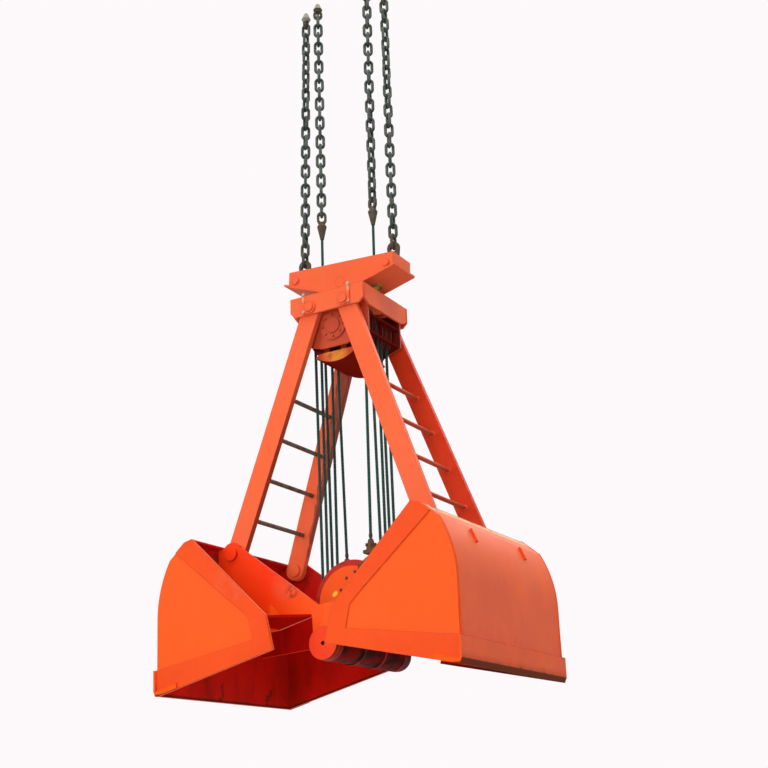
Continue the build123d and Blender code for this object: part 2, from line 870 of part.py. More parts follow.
# Stub pins for the shells' hinge, thicker between the block and the ears, and a trough under the sheaves
pin_tip = right_rib_y + rib_t / 2 - side_gap
tube_end = left_rib_y - rib_t / 2 - side_gap
with BuildPart() as stubs:
    for s in both_sides:
        with BuildSketch(upright_plane(s * (block_inner + pin_tip) / 2, z=hinge_z)):
            Circle(hinge_r)
        extrude(amount=(pin_tip - block_inner) / 2, both=True)
        with BuildSketch(upright_plane(s * (block_face + tube_end) / 2, z=hinge_z)):
            Circle(hinge_tube_d / 2)
        extrude(amount=(tube_end - block_face) / 2, both=True)
    with BuildSketch(upright_plane(0, z=hinge_z)):
        Circle(hinge_tube_d / 2)
        Circle(hinge_tube_d / 2 - hinge_tube_wall, mode=Mode.SUBTRACT)
        Rectangle(hinge_tube_d, hinge_tube_d / 2, align=(Align.CENTER, Align.MIN), mode=Mode.SUBTRACT)
    extrude(amount=block_inner - seat_gap, both=True)
save(stubs, "hinge_pins")

# Brackets holding the rope ends in cones with cross studs
bar_face = block_face + anchor_bar_t
with BuildPart() as brackets:
    for s in both_sides:
        with BuildSketch(upright_plane(s * (block_face + anchor_bar_t / 2), z=lower_axle_z)):
            with BuildLine():
                Polyline(
                    (-s * anchor_bar_inner, anchor_foot),
                    (-s * anchor_bar_outer, anchor_foot),
                    (-s * (anchor_x + anchor_half), anchor_rise - anchor_step),
                    (-s * (anchor_x + anchor_half), anchor_rise),
                    (-s * (anchor_x - anchor_half), anchor_rise),
                    (-s * anchor_bar_inner, anchor_rise - anchor_step),
                    close=True,
                )
            make_face()
        extrude(amount=anchor_bar_t / 2, both=True)
        with BuildSketch(Plane((-s * anchor_x, s * (bar_face + anchor_y + anchor_half) / 2, anchor_z))):
            Rectangle(2 * anchor_half, anchor_y + anchor_half - bar_face)
        extrude(amount=-anchor_shelf_t)
        with Locations((-s * anchor_x, s * anchor_y, anchor_z)):
            Cone(anchor_cone_radius, anchor_neck_radius, anchor_cone_height, align=stand)
        middle = Vector(-s * anchor_x, s * anchor_y, anchor_z + anchor_cone_height / 2)
        for i in range(stud_count):
            with Locations(Location(middle, (0, 90, 0)) * Location((0, 0, 0), (i * 180 / stud_count, 0, 0))):
                Cylinder(stud_d / 2, stud_length)
save(brackets, "rope_anchors")

# Balance beam, a box with a sloped foot flange
beam_slope = (beam_end_foot + beam_foot) / (beam_half - beam_foot_half)
flange_half = beam_half + flange_overhang
flange_end = beam_end_foot + flange_overhang * beam_slope
beam_face = beam_y
with BuildPart() as beam:
    with BuildSketch(beam_plane(0)) as profile:
        with BuildLine():
            Polyline(
                (-beam_half, beam_end_foot),
                (-beam_foot_half, -beam_foot),
                (beam_foot_half, -beam_foot),
                (beam_half, beam_end_foot),
                (beam_half, beam_top),
                (-beam_half, beam_top),
                close=True,
            )
        make_face()
    extrude(amount=beam_face, both=True)
    with BuildSketch(beam_plane(0)):
        with BuildLine():
            Polyline(
                (-flange_half, flange_end),
                (-beam_foot_half, -beam_foot),
                (beam_foot_half, -beam_foot),
                (flange_half, flange_end),
                (flange_half, flange_end - flange_t),
                (beam_foot_half, -beam_foot - flange_t),
                (-beam_foot_half, -beam_foot - flange_t),
                (-flange_half, flange_end - flange_t),
                close=True,
            )
        make_face()
    extrude(amount=beam_face + flange_overhang, both=True)
    with BuildSketch(beam_plane(0)):
        add(offset(profile.sketch_local, amount=-beam_wall, mode=Mode.PRIVATE))
    extrude(amount=beam_face - beam_wall, both=True, mode=Mode.SUBTRACT)
    with BuildSketch(Plane((0, 0, pivot_z))):
        Rectangle(2 * (beam_foot_half - hanger_play), 2 * (hanger_y + hanger_t / 2 + hanger_play))
    extrude(amount=-2 * (beam_foot + flange_t), mode=Mode.SUBTRACT)
    with BuildSketch(Plane((0, 0, pivot_z))):
        with Locations((-rope_in_x, 0), (rope_in_x, 0)):
            Circle(rope_hole_d / 2)
    extrude(amount=2 * beam_top, both=True, mode=Mode.SUBTRACT)
    with BuildSketch(beam_plane(0)):
        Circle(pivot_pin_d / 2 + run_gap)
        with Locations((-connector_x, connector_z), (connector_x, connector_z)):
            Circle(connector_pin_d / 2 + run_gap)
    extrude(amount=2 * beam_face, both=True, mode=Mode.SUBTRACT)
    with BuildSketch(line_plane(beam_point(0, beam_top), beam_tilt)):
        with Locations((-connector_x, 0), (connector_x, 0)):
            Rectangle(2 * connector_neck + beam_slot_play, connector_t + beam_slot_play)
    extrude(amount=2 * beam_wall, both=True, mode=Mode.SUBTRACT)
save(beam, "balance_beam")

# Flush pivot pin in the beam's middle and headed connector pins at its ends
with BuildPart() as beam_pins:
    with BuildSketch(beam_plane(0)):
        Circle(pivot_pin_d / 2)
    extrude(amount=beam_face, both=True)
    with BuildSketch(beam_plane(0)):
        with Locations((-connector_x, connector_z), (connector_x, connector_z)):
            Circle(connector_pin_d / 2)
    extrude(amount=beam_face, both=True)
    for s in both_sides:
        with BuildSketch(beam_plane(s * (beam_face + connector_head_t / 2))):
            with Locations((-connector_x, connector_z), (connector_x, connector_z)):
                Circle(connector_pin_head)
        extrude(amount=connector_head_t / 2, both=True)
save(beam_pins, "beam_pins")

# Connectors from the pins up to the holding chains
chain_turns = {
    ("holding", "left"): (holding_turn, holding_twist),
    ("holding", "right"): (holding_turn, holding_twist),
    ("closing", "left"): (closing_turn_left, closing_twist_left),
    ("closing", "right"): (closing_turn_right, closing_twist_right),
}
holding_leans = {"left": holding_lean_left, "right": holding_lean_right}
closing_leans = {"left": closing_lean_left, "right": closing_lean_right}
holding_starts = {name: beam_point(side * connector_x, connector_z) for name, side in sides}
closing_starts = {name: Vector(side * rope_in_x, 0, pivot_z) for name, side in sides}
with BuildPart() as connectors:
    for name, side in sides:
        level = line_plane(holding_starts[name], holding_leans[name])
        with BuildSketch(Plane(level.origin, x_dir=level.x_dir, z_dir=(0, -1, 0))):
            Circle(connector_foot_radius)
            with Locations((0, crown_centre)):
                Circle(crown_r)
            make_hull()
            Circle(connector_pin_d / 2 + run_gap, mode=Mode.SUBTRACT)
            with Locations((0, connector_eye)):
                Circle(connector_slot / 2, mode=Mode.SUBTRACT)
        extrude(amount=connector_t / 2, both=True)
save(connectors, "holding_connectors")

# One chain link
straight = link_end - link_arc
with BuildPart() as link:
    with BuildLine(Plane.XZ) as loop:
        Line((link_arc, -straight), (link_arc, straight))
        ThreePointArc((link_arc, straight), (0, link_end), (-link_arc, straight))
        Line((-link_arc, straight), (-link_arc, -straight))
        ThreePointArc((-link_arc, -straight), (0, -link_end), (link_arc, -straight))
    with BuildSketch(Plane((link_arc, 0, -straight))):
        Circle(wire_r)
    sweep(path=loop.wire())

# Chains
chains = (
    ("holding", holding_starts, holding_leans, holding_first, holding_links),
    ("closing", closing_starts, closing_leans, closing_first, closing_links),
)
for kind, starts, leans, first, count in chains:
    for name, side in sides:
        spots = []
        for i in range(count):
            level = line_plane(starts[name], leans[name], first + i * link_step)
            spots.append(turned(level, link_turn(kind, name, i)).location)
        with BuildPart() as chain:
            with Locations(*spots):
                add(link.part)
        save(chain, f"{kind}_chain_{name}")

# Rope sockets: a slotted eye, a waist, a flared shoulder and a cone, bored for the rope
low_shape = (low_stretch, low_waist, low_cone, low_bore)
top_shape = (top_stretch, top_waist, top_cone, top_bore)
sockets = (
    ("holding", holding_starts, holding_leans, [(holding_eye, 1, holding_links - 1, top_shape)]),
    (
        "closing",
        closing_starts,
        closing_leans,
        [(closing_low_eye, -1, 0, low_shape), (closing_eye, 1, closing_links - 1, top_shape)],
    ),
)
for kind, starts, leans, ends in sockets:
    with BuildPart() as socket:
        for (name, side), (eye, way, last, shape) in product(sides, ends):
            stretch, waist, cone, bore = shape
            level = line_plane(starts[name], leans[name], eye)
            eye_plane = turned(level, link_turn(kind, name, last) + 90)
            outward = Plane(level.origin, x_dir=level.x_dir, z_dir=level.z_dir * way)
            with BuildSketch(Plane(level.origin, x_dir=eye_plane.x_dir, z_dir=eye_plane.y_dir)):
                Circle(socket_eye_radius)
                with Locations((0, -way * stretch)):
                    Circle(socket_eye_radius)
                make_hull()
                with Locations((0, -way * stretch / 2)):
                    SlotCenterToCenter(stretch, socket_slot, rotation=90, mode=Mode.SUBTRACT)
            extrude(amount=socket_eye_t / 2, both=True)
            waist_start = stretch + collar_start
            flare_start = waist_start + waist
            cone_start = flare_start + socket_flare
            with BuildSketch(outward.offset(waist_start)):
                Circle(socket_waist_radius)
            extrude(amount=waist)
            with Locations(outward.offset(flare_start)):
                Cone(socket_waist_radius, socket_shoulder_radius, socket_flare, align=stand)
            with Locations(outward.offset(cone_start)):
                Cone(socket_shoulder_radius, socket_tip_radius, cone, align=stand)
            with BuildSketch(outward.offset(cone_start + cone)):
                Circle(rope_r + seat_gap)
            extrude(amount=-bore, mode=Mode.SUBTRACT)
    save(socket, f"{kind}_sockets")

# Closing ropes from the low sockets down to the beam's pivot height
with BuildPart() as rope_tops:
    for name, side in sides:
        with BuildSketch(Plane(closing_starts[name])):
            Circle(rope_r)
        rope_up = line_plane(closing_starts[name], closing_leans[name]).z_dir
        extrude(amount=closing_rise + low_bore - side_gap, dir=rope_up)
save(rope_tops, "closing_rope_tops")

# Rope guides under the beam: a sleeve through the hole and a ring on the flange
guide_r = rope_hole_d / 2 - run_gap
under_rise = (rope_in_x - beam_foot_half) * beam_slope - beam_foot - flange_t
with BuildPart() as guides:
    for name, side in sides:
        under = beam_point(side * rope_in_x, under_rise)
        with Locations((side * rope_in_x, 0, under.Z)):
            Cylinder(guide_r, pivot_z - guide_top - under.Z, align=stand)
            Cone(guide_foot_radius, guide_r, guide_drop, align=hang)
        with BuildSketch(Plane(closing_starts[name])):
            Circle(guide_bore / 2)
        extrude(amount=2 * beam_top, both=True, mode=Mode.SUBTRACT)
        run = beam_point(side * (rope_in_x + beam_half), under_rise + beam_half * beam_slope) - under
        face = Plane(under, x_dir=run, z_dir=run.cross(Vector(0, side, 0)))
        with BuildSketch(face):
            Circle(guide_ring_radius)
            Circle(guide_r + guide_ring_play, mode=Mode.SUBTRACT)
        extrude(amount=-guide_ring_t)
save(guides, "rope_guides")
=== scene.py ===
import math

import bpy
from mathutils import Matrix, Vector


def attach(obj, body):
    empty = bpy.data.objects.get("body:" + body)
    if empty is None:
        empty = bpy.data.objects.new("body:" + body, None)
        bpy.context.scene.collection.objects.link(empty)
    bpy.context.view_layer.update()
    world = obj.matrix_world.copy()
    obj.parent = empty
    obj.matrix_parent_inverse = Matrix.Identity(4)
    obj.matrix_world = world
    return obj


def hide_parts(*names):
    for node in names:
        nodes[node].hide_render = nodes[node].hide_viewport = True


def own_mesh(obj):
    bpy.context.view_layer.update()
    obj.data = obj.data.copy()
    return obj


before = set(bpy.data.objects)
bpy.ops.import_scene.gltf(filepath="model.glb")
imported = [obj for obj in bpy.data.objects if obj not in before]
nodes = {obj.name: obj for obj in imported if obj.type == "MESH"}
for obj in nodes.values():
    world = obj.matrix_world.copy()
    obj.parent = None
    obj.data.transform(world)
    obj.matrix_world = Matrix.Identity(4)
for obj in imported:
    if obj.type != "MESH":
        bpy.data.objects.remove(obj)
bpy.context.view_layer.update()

# Heights in metres: the beam's pivot from the frame's origin, the others from that pivot
PIVOT_Z = -3.15740
HEAD_TOP_Z = PIVOT_Z - 0.17800
HEAD_PIN_Z = PIVOT_Z - 0.30000
HEAD_FOOT_Z = PIVOT_Z - 0.37000
UPPER_AXLE_Z = PIVOT_Z - 0.48500
ARM_FOOT_Z = PIVOT_Z - 2.51326
ANCHOR_Z = PIVOT_Z - 2.61418
LOWER_AXLE_Z = PIVOT_Z - 2.99418
HINGE_Z = PIVOT_Z - 3.39918
FLOOR_Z = PIVOT_Z - 6.5

# Stage: the photograph's viewpoint, the white sky and the floor
CAMERA_PLACE = (5.716, -9.801, HINGE_Z - 1.477)
CAMERA_AZIMUTH = math.radians(28.774)
CAMERA_ELEVATION = math.radians(-18.946)
CAMERA_ROLL = math.radians(-2.630)
CAMERA_REACH = 200
SENSOR_WIDTH = 36
FOCAL_PIXELS = 1299.0
PICTURE_PIXELS = 768
SKY_WHITE = (0.985, 0.950, 0.962)
DOME_TINT = (0.96, 0.98, 1.0)
DOME_RANGE = {"From Min": -0.6, "From Max": 0.8, "To Min": 0.14, "To Max": 0.60}
FLOOR_SIZE = 120
FLOOR_GREY = (0.64, 0.64, 0.64)
FLOOR_PALE = (0.68, 0.68, 0.68)
FLOOR_ROUGHNESS = 0.9

# Ropes: reeving radii, rows and what is left of each run when the block is hauled up
ROPE_RADIUS = 0.014
STRANDS = 6
STRAND_TURN = math.radians(360 / STRANDS)
STRAND_RADIUS = ROPE_RADIUS / 3
STRAND_CIRCLE = ROPE_RADIUS * 2 / 3
STRAND_SIDES = 6
ROPE_LAY = 0.182
LAY_STEPS = 12
LEAD_X = 0.285
UPPER_R = 0.267
LOWER_R = 0.300
UPPER_ROWS = (0.095, 0.195)
LOWER_ROWS = (0.0415, 0.1245)
ANCHOR_Y = 0.300
TAIL_END_Z = ANCHOR_Z + 0.080
ROPE_TOP = 0.689
ROPE_LAP = 0.075  # the upper ropes reach into the leads, so that rocking opens no gap
LEFT_LEAN = math.radians(0.7)
RIGHT_LEAN = math.radians(0.95)
LEADS_KEEP = 0.442
FALLS_KEEP = 0.334
TAILS_KEEP = 0.178

# Welds: the bead, and the seams of shells, beam, head and rungs
BEAD_RADIUS = 0.007
THIN_BEAD = BEAD_RADIUS * 0.8
RUNG_BEAD = 0.006
BEAD_SIDES = 8
BEAD_RIPPLE = 0.014
BEAD_FOOT = 0.84
BEAD_CREST = 0.62
BEAD_SWELL = 1.22
RING_STEPS = 28
BACK_ARC_STEPS = 6
MOUTH_DIP = math.radians(13.2)
SIDE_SEAM_Y = 0.980
BAND_FACE_Y = 1.002
LIP_SEAM = (1.4236, 0.2147)
BACK_KNEE = (1.3291, 0.6219)
BACK_CROWN = (1.092, 1.082)
BACK_HEADING = math.radians(102.5)
BAND_SEAM = ((0.422, 0.124), (0.422, 0.324), (0.471, 0.400), (1.012, 1.1237))
TIE_TOP = 0.293
STRIP_SEAM = ((0.422, 0.124), (1.420, 0.212))
RIDGE_SEAM = ((0.904, 1.180), (0.822, 1.180))
BEAM_TILT = math.radians(3.6)
BEAM_Y = 0.167
BEAM_SEAM = ((-0.572, 0.062), (-0.150, -0.078), (0.150, -0.078), (0.572, 0.062))
HEAD_HALF = 0.390
HEAD_SEAM_Y = 0.398
HEAD_SEAM_FOOT_Z = HEAD_FOOT_Z + 0.050
HEAD_SEAM_TOP_Z = HEAD_TOP_Z - 0.004
ARM_FOOT_X = 0.96993
ARM_FOOT_Y = 0.480
ARM_CROWN_X = 0.180
ARM_CROWN_Y = 0.360
ARM_HALF = 0.031
RUNG_RADIUS = 0.020
RUNG_COUNT = 4
RUNG_FIRST = 0.340
RUNG_PITCH = 0.384

# Small parts: bolts, grease nipples and wire seizings
BOLT_RADIUS = 0.011
BOLT_DEPTH = BOLT_RADIUS * 0.70
BOLT_CENTRE = BOLT_RADIUS * 0.55
BOLT_BEVEL = BOLT_RADIUS * 0.08
WASHER_RADIUS = BOLT_RADIUS * 1.25
WASHER_DEPTH = BOLT_RADIUS * 0.22
WASHER_SIDES = 20
HEXAGON = 6
LOCK_X = 0.240
LOCK_FACE_Y = 0.432
LOCK_BOLT_RISES = (0.030, 0.196)
AXLE_CAP_Y = 0.209
AXLE_BOLT_R = 0.060
AXLE_BOLT_TURNS = (90, 210, 330)
BLOCK_FACE_Y = 0.185
KEEPER_BOLTS = ((-0.024, 0.604), (0.064, 0.649), (-0.083, 0.507))
PIN_TIP_Y = 0.597
NIPPLE_FOOT = 0.010
NIPPLE_INSET = 0.0045
NIPPLE_NECK = 0.009
NIPPLE_BALL = 0.006
NIPPLE_SWELL = (1.5, 1.5, 1)
NIPPLE_TIP = (0.55, 0.55, 1)
SEIZING_WIRE = 0.0018
SEIZING_SIDES = 6
SEIZING_RADIUS = ROPE_RADIUS + SEIZING_WIRE * 0.6
SEIZING_PITCH = SEIZING_WIRE * 2.1
SEIZING_TURNS = 7
SEIZING_STEPS = 18
SEIZING_LIFT = 0.020
ANCHOR_TOP_Z = ANCHOR_Z + 0.0953

# Meshes: points closer than this are one, and faces that meet within these degrees look smooth
SAME_POINT = 1e-5
SMOOTH_ANGLE = 40
ROPE_SMOOTH_ANGLE = 80


# Shader nodes


class Value:
    """A number of a shader, so that masks are written as sums and products."""

    def __init__(self, shader, socket):
        self.shader = shader
        self.socket = socket

    def math(self, operation, *others):
        sockets = dict(enumerate((self, *others)))
        return self.shader.value("ShaderNodeMath", {"operation": operation}, sockets)

    def __add__(self, other):
        return self.math("ADD", other)

    def __sub__(self, other):
        return self.math("SUBTRACT", other)

    def __mul__(self, other):
        return self.math("MULTIPLY", other)

    def __rsub__(self, other):
        return self.shader.value("ShaderNodeMath", {"operation": "SUBTRACT"}, {0: other, 1: self})

    __radd__ = __add__
    __rmul__ = __mul__

    def above(self, low, high):
        """0 below low, 1 above high, smooth between."""
        sockets = {"Value": self, "From Min": low, "From Max": high}
        return self.shader.value("ShaderNodeMapRange", {"interpolation_type": "SMOOTHSTEP"}, sockets)

    def below(self, low, high):
        """1 below low, 0 above high, smooth between."""
        return 1 - self.above(low, high)

    def clamped(self):
        return self.shader.value("ShaderNodeClamp", {}, {"Value": self})


class Shader:
    """The nodes of a material or of the world, all made by one method."""

    def __init__(self, owner):
        owner.use_nodes = True
        self.tree = owner.node_tree
        self.tree.nodes.clear()

    def node(self, kind, settings, sockets):
        added = self.tree.nodes.new(kind)
        for name, setting in settings.items():
            setattr(added, name, setting)
        for name, given in sockets.items():
            self.feed(added.inputs[name], given)
        return added

    def feed(self, socket, given):
        if isinstance(given, Value):
            self.tree.links.new(given.socket, socket)
        elif isinstance(given, bpy.types.NodeSocket):
            self.tree.links.new(given, socket)
        elif isinstance(given, tuple) and len(given) == 3 and socket.type == "RGBA":
            socket.default_value = (*given, 1)
        else:
            socket.default_value = given

    def value(self, kind, settings, sockets, output=0):
        return Value(self, self.node(kind, settings, sockets).outputs[output])


class Finish(Shader):
    """One procedural material, built around a Principled shader."""

    def __init__(self, name):
        self.material = bpy.data.materials.new(name)
        super().__init__(self.material)
        self.surface = self.node("ShaderNodeBsdfPrincipled", {}, {})
        self.node("ShaderNodeOutputMaterial", {}, {0: self.surface.outputs[0]})
        coords = self.node("ShaderNodeTexCoord", {}, {})
        self.place = coords.outputs["Object"]
        self.facing = coords.outputs["Normal"]

    def vector(self, operation, first, second):
        """The vector that an operation makes of two."""
        return self.node("ShaderNodeVectorMath", {"operation": operation}, {0: first, 1: second}).outputs[0]

    def measure(self, operation, first, second):
        """The number that an operation makes of two vectors."""
        settings = {"operation": operation}
        return self.value("ShaderNodeVectorMath", settings, {0: first, 1: second}, "Value")

    def mix(self, share, first, second):
        """Colour that goes from first to second."""
        settings = {"data_type": "RGBA", "blend_type": "MIX"}
        return self.node("ShaderNodeMix", settings, {0: share, 6: first, 7: second}).outputs[2]

    def stretched(self, scale, turn=(0, 0, 0)):
        """The surface point, scaled and turned to stretch a pattern."""
        sockets = {"Vector": self.place, "Scale": scale, "Rotation": turn}
        return self.node("ShaderNodeMapping", {}, sockets).outputs[0]

    def noise(self, scale, detail=4.0, rough=0.55, place=None):
        sockets = {"Vector": place or self.place, "Scale": scale, "Detail": detail, "Roughness": rough}
        return self.value("ShaderNodeTexNoise", {}, sockets)

    def along(self, direction, origin=(0, 0, 0)):
        """Distance of the surface point from origin along a direction."""
        return self.measure("DOT_PRODUCT", self.vector("SUBTRACT", self.place, origin), direction)

    def height(self, level):
        """Height of the surface point over a level."""
        return self.along((0, 0, 1), (0, 0, level))

    def outward(self):
        """Distance of the surface point from the middle plane of the grab."""
        return self.along((1, 0, 0)).math("ABSOLUTE")

    def inward(self):
        """Distance of the surface point in from the mouth of its open shell."""
        return self.outward() * math.sin(MOUTH_DIP) + self.height(HINGE_Z) * math.cos(MOUTH_DIP)

    def axle_gap(self, axle_z):
        """Distance of the surface point from an axle along Y."""
        return self.measure("DISTANCE", self.vector("MULTIPLY", self.place, (1, 0, 1)), (0, 0, axle_z))

    def faces(self, direction):
        """How much the surface faces a direction, -1 to 1."""
        return self.measure("DOT_PRODUCT", self.facing, direction)

    def faces_across(self):
        """How much the surface faces the front or the back, 0 to 1."""
        return self.faces((0, 1, 0)).math("ABSOLUTE")

    def inside_of(self, centre):
        """1 on walls that face the middle of a hollow."""
        out = self.vector("SUBTRACT", self.place, centre)
        return self.measure("DOT_PRODUCT", self.facing, out).below(-0.01, 0.01)

    def near(self, centre, radius):
        """1 at a place, fading to 0 at radius."""
        return self.measure("DISTANCE", self.place, centre).below(radius * 0.35, radius)

    def edges(self, radius):
        """1 on sharp edges, 0 on flats."""
        bevel = self.node("ShaderNodeBevel", {"samples": 4}, {"Radius": radius}).outputs[0]
        flat = self.node("ShaderNodeNewGeometry", {}, {}).outputs["Normal"]
        return self.measure("DOT_PRODUCT", bevel, flat).below(0.82, 0.995)

    def finish(self, colour, roughness, bump=None, depth=0.002, metallic=0.0, shine=0.5):
        self.feed(self.surface.inputs["Base Color"], colour)
        self.feed(self.surface.inputs["Specular IOR Level"], shine)
        self.feed(self.surface.inputs["Roughness"], roughness)
        self.feed(self.surface.inputs["Metallic"], metallic)
        if bump is not None:
            sockets = {"Height": bump, "Distance": depth, "Strength": BUMP_STRENGTH}
            self.feed(self.surface.inputs["Normal"], self.node("ShaderNodeBump", {}, sockets).outputs[0])
        return self.material


# Camera and stage


def place_camera():
    """The photograph's viewpoint: low, in front and to the right, looking up."""
    level = math.cos(CAMERA_ELEVATION)
    forward = Vector((-math.sin(CAMERA_AZIMUTH) * level, math.cos(CAMERA_AZIMUTH) * level,
                      -math.sin(CAMERA_ELEVATION)))
    right = Vector((math.cos(CAMERA_AZIMUTH), math.sin(CAMERA_AZIMUTH), 0))
    up = right.cross(forward)
    rolled_right = math.cos(CAMERA_ROLL) * right + math.sin(CAMERA_ROLL) * up
    rolled_up = math.cos(CAMERA_ROLL) * up - math.sin(CAMERA_ROLL) * right
    data = bpy.data.cameras.new("photograph_view")
    data.sensor_width = SENSOR_WIDTH
    data.lens = SENSOR_WIDTH * FOCAL_PIXELS / PICTURE_PIXELS
    data.clip_end = CAMERA_REACH
    camera = bpy.data.objects.new("photograph_view", data)
    bpy.context.scene.collection.objects.link(camera)
    turn = Matrix((rolled_right, rolled_up, -forward)).transposed().to_4x4()
    camera.matrix_world = Matrix.Translation(CAMERA_PLACE) @ turn
    bpy.context.scene.camera = camera


def soft_lamp(name, place, target, size, watts, spread=180):
    """A round softbox; a small spread keeps its light off the floor."""
    data = bpy.data.lights.new(name, "AREA")
    data.shape = "DISK"
    data.size = size
    data.energy = watts
    data.spread = math.radians(spread)
    lamp = bpy.data.objects.new(name, data)
    lamp.location = place
    lamp.rotation_euler = (Vector(target) - Vector(place)).to_track_quat("-Z", "Y").to_euler()
    bpy.context.scene.collection.objects.link(lamp)


def white_sky():
    """White where it is seen or mirrored, and a soft dome that is brighter above than below."""
    world = bpy.data.worlds.new("white_sky")
    bpy.context.scene.world = world
    sky = Shader(world)
    rays = sky.node("ShaderNodeLightPath", {}, {}).outputs
    seen = Value(sky, rays["Is Camera Ray"]).math("MAXIMUM", rays["Is Glossy Ray"])
    seen = seen.math("MAXIMUM", rays["Is Transmission Ray"])
    way = sky.node("ShaderNodeTexCoord", {}, {}).outputs["Generated"]
    rise = sky.node("ShaderNodeSeparateXYZ", {}, {0: way}).outputs["Z"]
    strength = sky.value("ShaderNodeMapRange", {}, {"Value": rise, **DOME_RANGE})
    dome = sky.node("ShaderNodeBackground", {}, {"Color": DOME_TINT, "Strength": strength}).outputs[0]
    white = sky.node("ShaderNodeBackground", {}, {"Color": SKY_WHITE}).outputs[0]
    mixed = sky.node("ShaderNodeMixShader", {}, {0: seen, 1: dome, 2: white}).outputs[0]
    sky.node("ShaderNodeOutputWorld", {}, {0: mixed})


place_camera()
white_sky()
soft_lamp("front_left_softbox", place=(-8.0, -14.5, -0.5), target=(0, 0, -5.2),
          size=8.0, watts=150, spread=90)
soft_lamp("high_front_softbox", place=(-4.0, -11.0, 11.5), target=(0, 0, -5.6), size=9.0, watts=1020)
soft_lamp("viewer_softbox", place=(3.5, -13.0, -4.5), target=(-0.4, 0, -6.0),
          size=5.0, watts=79, spread=70)
soft_lamp("high_right_softbox", place=(7.5, -3.0, 10.5), target=(0.6, 0, -5.6), size=6.0, watts=1120)
soft_lamp("high_back_softbox", place=(3.0, 15.0, 6.0), target=(0, 0, -5.2), size=9.0, watts=850)
bpy.context.scene.view_settings.view_transform = "Standard"


# Colours
ORANGE = (0.940, 0.100, 0.0095)
FADED_ORANGE = (0.920, 0.122, 0.024)
BAND_ORANGE = (0.820, 0.068, 0.010)
BACK_ORANGE = (0.960, 0.158, 0.050)
SALMON = (0.860, 0.130, 0.044)
PALE_SALMON = (0.860, 0.154, 0.070)
RIB_RED = (0.980, 0.036, 0.003)
# Painted shade: the deep red of faces inside the shells and on the tie plates
INSIDE_SHADE_RED = (0.620, 0.004, 0.002)
# Painted shade: the dark red of inner sides, undersides, the lower block, the hinge barrel and the upper
# sheaves
DEEP_SHADE_RED = (0.200, 0.005, 0.003)
SHEAVE_RED = (0.480, 0.020, 0.008)
SHADED_RED = (0.100, 0.006, 0.004)
CAP_RED = (0.860, 0.044, 0.012)
FAR_SHADE_RED = (0.620, 0.036, 0.012)
GUARD_YELLOW = (0.720, 0.270, 0.040)
BEARING_RED = (0.500, 0.060, 0.026)
RUST = (0.200, 0.066, 0.022)
EDGE_RUST = (0.210, 0.036, 0.010)
EDGE_SHADE = (0.055, 0.012, 0.005)
DARK_RUST = (0.050, 0.030, 0.017)
OLIVE_RUST = (0.110, 0.078, 0.042)
BROWN_STEEL = (0.085, 0.070, 0.048)
RUNG_BROWN = (0.170, 0.110, 0.080)
GREY_STEEL = (0.300, 0.285, 0.260)
PALE_STEEL = (0.480, 0.450, 0.380)
CHAIN_GREEN = (0.018, 0.038, 0.030)
CHAIN_PALE = (0.095, 0.110, 0.088)
ROPE_GREEN = (0.008, 0.078, 0.056)
ROPE_PALE = (0.060, 0.165, 0.128)
GREASE = (0.012, 0.009, 0.008)
AMBER_GREASE = (0.950, 0.520, 0.030)
BRONZE = (0.420, 0.240, 0.085)
GRIME = (0.110, 0.045, 0.024)
DUST = (0.560, 0.360, 0.230)
PALE_CREAM = (0.800, 0.440, 0.170)
SCUFF = (0.790, 0.124, 0.054)
ROPE_SOOT = (0.150, 0.034, 0.020)

# Shine of each kind of surface, and the depth of its relief in metres
PAINT_SHINE = 0.10
FRAME_SHINE = 0.04
BACK_SHINE = 0.05
LIP_SHINE = 0.03
BARREL_SHINE = 0.01
NO_SHINE = 0.0
SHEAVE_SHINE = 0.15
CHAIN_SHINE = 0.35
ROPE_SHINE = 0.35
BUMP_STRENGTH = 0.6
PAINT_RELIEF = 0.0022
STEEL_RELIEF = 0.0015
CHAIN_RELIEF = 0.0012
ROPE_RELIEF = 0.0012
SHEAVE_RELIEF = 0.002

# Marks in metres: hollows, worn edges, places with a radius, heights, and ranges in which a mark fades
LEFT_HOLLOW = (-0.80, 0.0, HINGE_Z + 0.42)
RIGHT_HOLLOW = (0.80, 0.0, HINGE_Z + 0.42)
HEAD_HOLLOW = (0, 0, UPPER_AXLE_Z)
EDGE_WEAR = 0.007
MOUTH_RIM = (0.014, 0.026)
CLEAR_OF_HINGE = (0.25, 0.40)
BACK_RUB = (0.30, 0.80)
RIDGE_DIRT = (0.874, 0.900)
CREST_DIRT = (0.926, 0.938)
LIP_CHEEK = (BAND_FACE_Y - 0.003, BAND_FACE_Y)
LIP_HAZE = (-0.33, -0.22)
LIP_RUST = (-0.318, -0.288)
LIP_EDGE = (-0.324, -0.314)
TIE_FACE = (TIE_TOP, TIE_TOP + 0.002)
BAND_RUB = ((-0.66, -1.01, HINGE_Z + 0.50), 0.20)
HINGE_RIM = (0.150, 0.165)
GREASED_BACK = (0.2, 0.4)
RIB_HINGE = ((0, -0.56, HINGE_Z + 0.20), 0.70)
RIB_RUB = ((-0.42, -0.56, HINGE_Z + 0.53), 0.17)
RIB_WIPE = ((-0.345, -0.56, HINGE_Z + 0.475), 0.085)
RIGHT_PIN_GREASE = ((0.970, 0.435, HINGE_Z + 0.80), 0.20)
LEFT_PIN_GREASE = ((-0.970, 0.435, HINGE_Z + 0.80), 0.20)
LOW_DAB = ((-0.154, -0.185, HINGE_Z + 0.474), 0.026)
HIGH_DAB = ((-0.136, -0.185, HINGE_Z + 0.486), 0.026)
BLOCK_WIPE = ((-0.085, -0.185, HINGE_Z + 0.470), 0.10)
BLOCK_GREASE = (-0.06, 0.12)
GUARD_YELLOW_PATCH = ((0.0, -0.285, UPPER_AXLE_Z - 0.25), 0.17)
GUARD_TAB_SHADE = (-0.242, -0.236)
